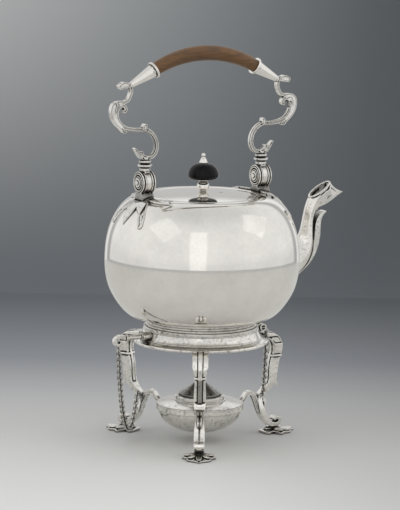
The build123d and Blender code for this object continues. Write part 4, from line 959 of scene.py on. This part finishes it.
def table_ring(name, inner, outer, turn, forward, material):
    """A flat ring or part of one at the floor, which only reflections show. A part of a ring is open
    behind the kettle."""
    bm = bmesh.new()
    verts = [bm.verts.new((x, 0, 0.1 * MM)) for x in (inner, outer)]
    line = bm.edges.new(verts)
    start = math.atan2(-forward.y, -forward.x) - turn / 2
    bmesh.ops.rotate(bm, verts=verts, cent=(0, 0, 0), matrix=Matrix.Rotation(start, 3, "Z"))
    bmesh.ops.spin(bm, geom=verts + [line], cent=(0, 0, 0), axis=(0, 0, 1), dvec=(0, 0, 0), angle=turn,
                   steps=96, use_merge=turn == 2 * math.pi, use_duplicate=False)
    bmesh.ops.remove_doubles(bm, verts=bm.verts, dist=WELD)
    for face in bm.faces:
        if face.normal.z < 0:
            face.normal_flip()
    mesh = mesh_of(bm, name)
    mesh.materials.append(material)
    ring = place_object(name, mesh)
    ring.visible_camera = False
    ring.visible_diffuse = False
    ring.visible_shadow = False
    return ring


def edge_material():
    """Grey cloth that hangs round the table's edge, matt."""
    material, tree, shader = start_material("edge_cloth")
    shader.inputs["Base Color"].default_value = linear("#B9BABB")
    shader.inputs["Roughness"].default_value = 0.9
    return material


def stage_sheet(name, line, forward, material):
    """A sheet along a line of (depth, height), turned to lie across the camera's view."""
    bm = bmesh.new()
    verts = [bm.verts.new((-FLOOR_HALF_WIDTH, y, z)) for y, z in line]
    edges = [bm.edges.new(pair) for pair in zip(verts, verts[1:])]
    made = bmesh.ops.extrude_edge_only(bm, edges=edges)["geom"]
    far = [part for part in made if isinstance(part, bmesh.types.BMVert)]
    bmesh.ops.translate(bm, verts=far, vec=(2 * FLOOR_HALF_WIDTH, 0, 0))
    bm.normal_update()
    # Faces point up and towards the camera
    bmesh.ops.reverse_faces(bm, faces=[face for face in bm.faces if face.normal.z < face.normal.y])
    mesh = mesh_of(bm, name)
    shade_smooth(mesh)
    mesh.materials.append(material)
    sheet = place_object(name, mesh)
    sheet.rotation_euler = (0, 0, math.atan2(forward.y, forward.x) - math.pi / 2)
    return sheet


def table_material():
    """Pale grey paper on the table, matt."""
    material, tree, shader = start_material("table_paper")
    shader.inputs["Roughness"].default_value = 0.9
    shader.inputs["Specular IOR Level"].default_value = 0.1
    shader.inputs["Base Color"].default_value = linear("#D2D2CF")
    return material


def paper_material():
    """Seamless paper, matt, with painted light and shade: pale grey under the kettle and slate grey
    behind it. High up it is paler to the left, and all of it is dimmer to the right."""
    material, tree, shader = start_material("seamless_paper_painted_light")
    shader.inputs["Roughness"].default_value = 0.9
    shader.inputs["Specular IOR Level"].default_value = 0.1
    place = add(tree, "ShaderNodeTexCoord").outputs["Object"]
    parts = add(tree, "ShaderNodeSeparateXYZ", {"Vector": place}).outputs
    # Painted light and shade: the floor is pale near the kettle and falls to slate grey behind it
    depth = add(tree, "ShaderNodeMapRange", {"Value": parts["Y"], "From Min": -0.4,
                                             "From Max": WALL_DEPTH}).outputs["Result"]
    floor = add(tree, "ShaderNodeValToRGB", {"Fac": depth},
                stops=[(0.08, linear("#DEDEDC")), (0.22, linear("#D2D2D0")), (0.35, linear("#B6B7B7")),
                       (0.47, linear("#8C8F94")), (0.57, linear("#797C80")), (0.68, linear("#64686C")),
                       (0.85, linear("#5E6266"))]).outputs["Color"]
    # Painted light: high up the paper is paler to the left
    side = add(tree, "ShaderNodeMapRange", {"Value": parts["X"], "From Min": 0.3,
                                            "From Max": -0.3}).outputs["Result"]
    height = add(tree, "ShaderNodeMapRange", {"Value": parts["Z"], "From Min": 0.0,
                                              "From Max": 0.3}).outputs["Result"]
    high = add(tree, "ShaderNodeValToRGB", {"Fac": side},
               stops=[(0.0, linear("#5C6064")), (0.5, linear("#888C8E")),
                      (1.0, linear("#BBBCBC"))]).outputs["Color"]
    colour = add(tree, "ShaderNodeMixRGB", {"Fac": height, "Color1": floor, "Color2": high}).outputs["Color"]
    # Painted shade: all of the paper is dimmer to the right
    painted_right_shade = add(tree, "ShaderNodeMapRange", {"Value": parts["X"], "From Min": 0.0, "From Max": 0.2,
                                           "To Min": 1.0, "To Max": 0.76}).outputs["Result"]
    colour = add(tree, "ShaderNodeMixRGB", {"Fac": 1.0, "Color1": colour, "Color2": painted_right_shade},
                 blend_type="MULTIPLY").outputs["Color"]
    # The back of the paper is clear, so that the kettle can be seen from behind it
    back = add(tree, "ShaderNodeNewGeometry").outputs["Backfacing"]
    front = add(tree, "ShaderNodeMath", {0: 1.0, 1: back}, operation="SUBTRACT").outputs["Value"]
    feed(tree, shader, Base_Color=colour, Alpha=front)
    return material


def toward(forward, azimuth, elevation, distance):
    """A place seen from the kettle, with azimuth to the right of the camera and elevation up, both
    in degrees."""
    right = Vector((forward.y, -forward.x, 0))
    turn, rise = math.radians(azimuth), math.radians(elevation)
    flat = -forward * math.cos(turn) + right * math.sin(turn)
    return (flat * math.cos(rise) + Vector((0, 0, math.sin(rise)))) * distance + AIM


def make_lights(forward, strength):
    """Soft boxes at both sides and a tall bright gap by the camera, as in a light tent. The silver
    shows these a little brighter than the tent. It doesn't show the fill lamps, which light only what
    is matt."""
    boxes = (
        # name, azimuth, elevation, distance, width, height, turn about its own axis, radiance and
        # whether the silver shows it
        ("soft_box_left", -54, 38, 1.6, 0.95, 0.75, -30, 0.13, True),
        ("soft_box_right", 84, 39, 1.6, 0.95, 0.75, 38, 0.17, True),
        ("tent_gap", -4.5, 15.5, 3.6, 1.26, 3.3, 0, 0.20, True),
        ("fill_left", -54, 38, 1.6, 0.95, 0.75, 0, 0.8, False),
        ("fill_right", 84, 39, 1.6, 0.95, 0.75, 0, 0.7, False),
        ("fill_top", 10, 86, 1.9, 1.1, 1.1, 0, 1.0, False),
    )
    for name, azimuth, elevation, distance, wide, tall, turn, radiance, shown in boxes:
        data = bpy.data.lights.new(name, "AREA")
        data.shape = "RECTANGLE"
        data.size = wide
        data.size_y = tall
        data.energy = radiance * math.pi * wide * tall * strength
        lamp = place_object(name, data)
        lamp.location = toward(forward, azimuth, elevation, distance)
        ahead = (AIM - lamp.location).to_track_quat("-Z", "Y")
        lamp.rotation_euler = (ahead @ Quaternion((0, 0, 1), math.radians(turn))).to_euler()
        lamp.visible_camera = False
        lamp.visible_glossy = shown


def make_world(scene, forward):
    """White tent all round, a little darker overhead. Its back has a dark middle and a dark ring
    round that, which the silver shows near its outline."""
    world = bpy.data.worlds.new("light_tent")
    scene.world = world
    world.use_nodes = True
    tree = world.node_tree
    tree.nodes.clear()
    way = add(tree, "ShaderNodeTexCoord").outputs["Generated"]
    up = add(tree, "ShaderNodeSeparateXYZ", {"Vector": way}).outputs["Z"]
    share = add(tree, "ShaderNodeMapRange", {"Value": up, "From Min": -1.0,
                                             "From Max": 1.0}).outputs["Result"]
    tone = add(tree, "ShaderNodeValToRGB", {"Fac": share},
               stops=[(0.0, grey(0.60)), (0.45, grey(0.78)), (0.52, grey(0.89)), (0.70, grey(0.90)),
                      (0.85, grey(0.86)), (0.95, grey(0.74)), (1.0, grey(0.70))]).outputs["Color"]
    away = add(tree, "ShaderNodeVectorMath", {0: way, 1: forward}, operation="DOT_PRODUCT").outputs["Value"]
    share = add(tree, "ShaderNodeMapRange", {"Value": away, "From Min": -1.0,
                                             "From Max": 1.0}).outputs["Result"]
    strips = add(tree, "ShaderNodeValToRGB", {"Fac": share},
                 stops=[(0.870, grey(1.0)), (0.890, grey(0.58)), (0.925, grey(0.52)),
                        (0.942, grey(1.05)), (0.970, grey(1.05)), (0.982, grey(0.62))]).outputs["Color"]
    tone = add(tree, "ShaderNodeMixRGB", {"Fac": 1.0, "Color1": tone, "Color2": strips},
               blend_type="MULTIPLY").outputs["Color"]
    light = add(tree, "ShaderNodeBackground", {"Color": tone, "Strength": 1.0})
    output = add(tree, "ShaderNodeOutputWorld")
    tree.links.new(light.outputs["Background"], output.inputs["Surface"])


def make_camera(scene, studio, forward):
    """The camera at the photograph's viewing angle, with its lens, shift and slight roll."""
    data = bpy.data.cameras.new("view")
    camera = place_object("view", data)
    scene.camera = camera
    data.sensor_fit = "VERTICAL"
    data.sensor_height = SENSOR
    data.sensor_width = SENSOR * FRAME_WIDTH / FRAME_HEIGHT
    data.lens = SENSOR * FOCAL_PIXELS / FRAME_HEIGHT
    data.shift_x = -SIDE_PIXELS / FRAME_HEIGHT
    data.clip_start = 0.05
    data.clip_end = 50
    rise, turn = studio.elevation, studio.roll
    right = Vector((forward.y, -forward.x, 0))
    ahead = forward * math.cos(rise) - Vector((0, 0, math.sin(rise)))
    above = forward * math.sin(rise) + Vector((0, 0, math.cos(rise)))
    across = right * math.cos(turn) + above * math.sin(turn)
    upward = above * math.cos(turn) - right * math.sin(turn)
    place = Vector((0, 0, studio.height)) - ahead * studio.distance
    axes = Matrix((across, upward, -ahead)).transposed().to_4x4()
    camera.matrix_world = Matrix.Translation(place) @ axes


class KETTLE_PT_panel(bpy.types.Panel):
    """Lists the operators that dress the kettle"""

    bl_idname = "KETTLE_PT_panel"
    bl_label = "Tea Kettle"
    bl_space_type = "VIEW_3D"
    bl_region_type = "UI"
    bl_category = "Tea Kettle"

    def draw(self, context):
        layout = self.layout
        for group in (context.scene.kettle_finish, context.scene.kettle_form, context.scene.kettle_studio):
            for name in group.bl_rna.properties.keys():
                if name not in ("rna_type", "name"):
                    layout.prop(group, name)
        for operator in OPERATORS:
            layout.operator(operator.bl_idname)


OPERATORS = (KETTLE_OT_body, KETTLE_OT_spout, KETTLE_OT_lid, KETTLE_OT_handle, KETTLE_OT_stand,
             KETTLE_OT_chains, KETTLE_OT_lamp, KETTLE_OT_studio)
GROUPS = {"kettle_finish": KettleFinish, "kettle_form": KettleForm, "kettle_studio": KettleStudio}


def register():
    """Registers the settings, the operators and the panel."""
    for kind in (*GROUPS.values(), *OPERATORS, KETTLE_PT_panel):
        bpy.utils.register_class(kind)
    for name, kind in GROUPS.items():
        setattr(bpy.types.Scene, name, PointerProperty(type=kind))


def unregister():
    """Takes out what register put in."""
    for name in GROUPS:
        delattr(bpy.types.Scene, name)
    for kind in (KETTLE_PT_panel, *reversed(OPERATORS), *GROUPS.values()):
        bpy.utils.unregister_class(kind)


def main():
    """Dresses the kettle and sets the stage."""
    register()
    bpy.ops.kettle.body()
    bpy.ops.kettle.spout()
    bpy.ops.kettle.lid()
    bpy.ops.kettle.handle()
    bpy.ops.kettle.stand()
    bpy.ops.kettle.chains()
    bpy.ops.kettle.lamp()
    bpy.ops.kettle.studio()


if __name__ == "__main__":
    main()
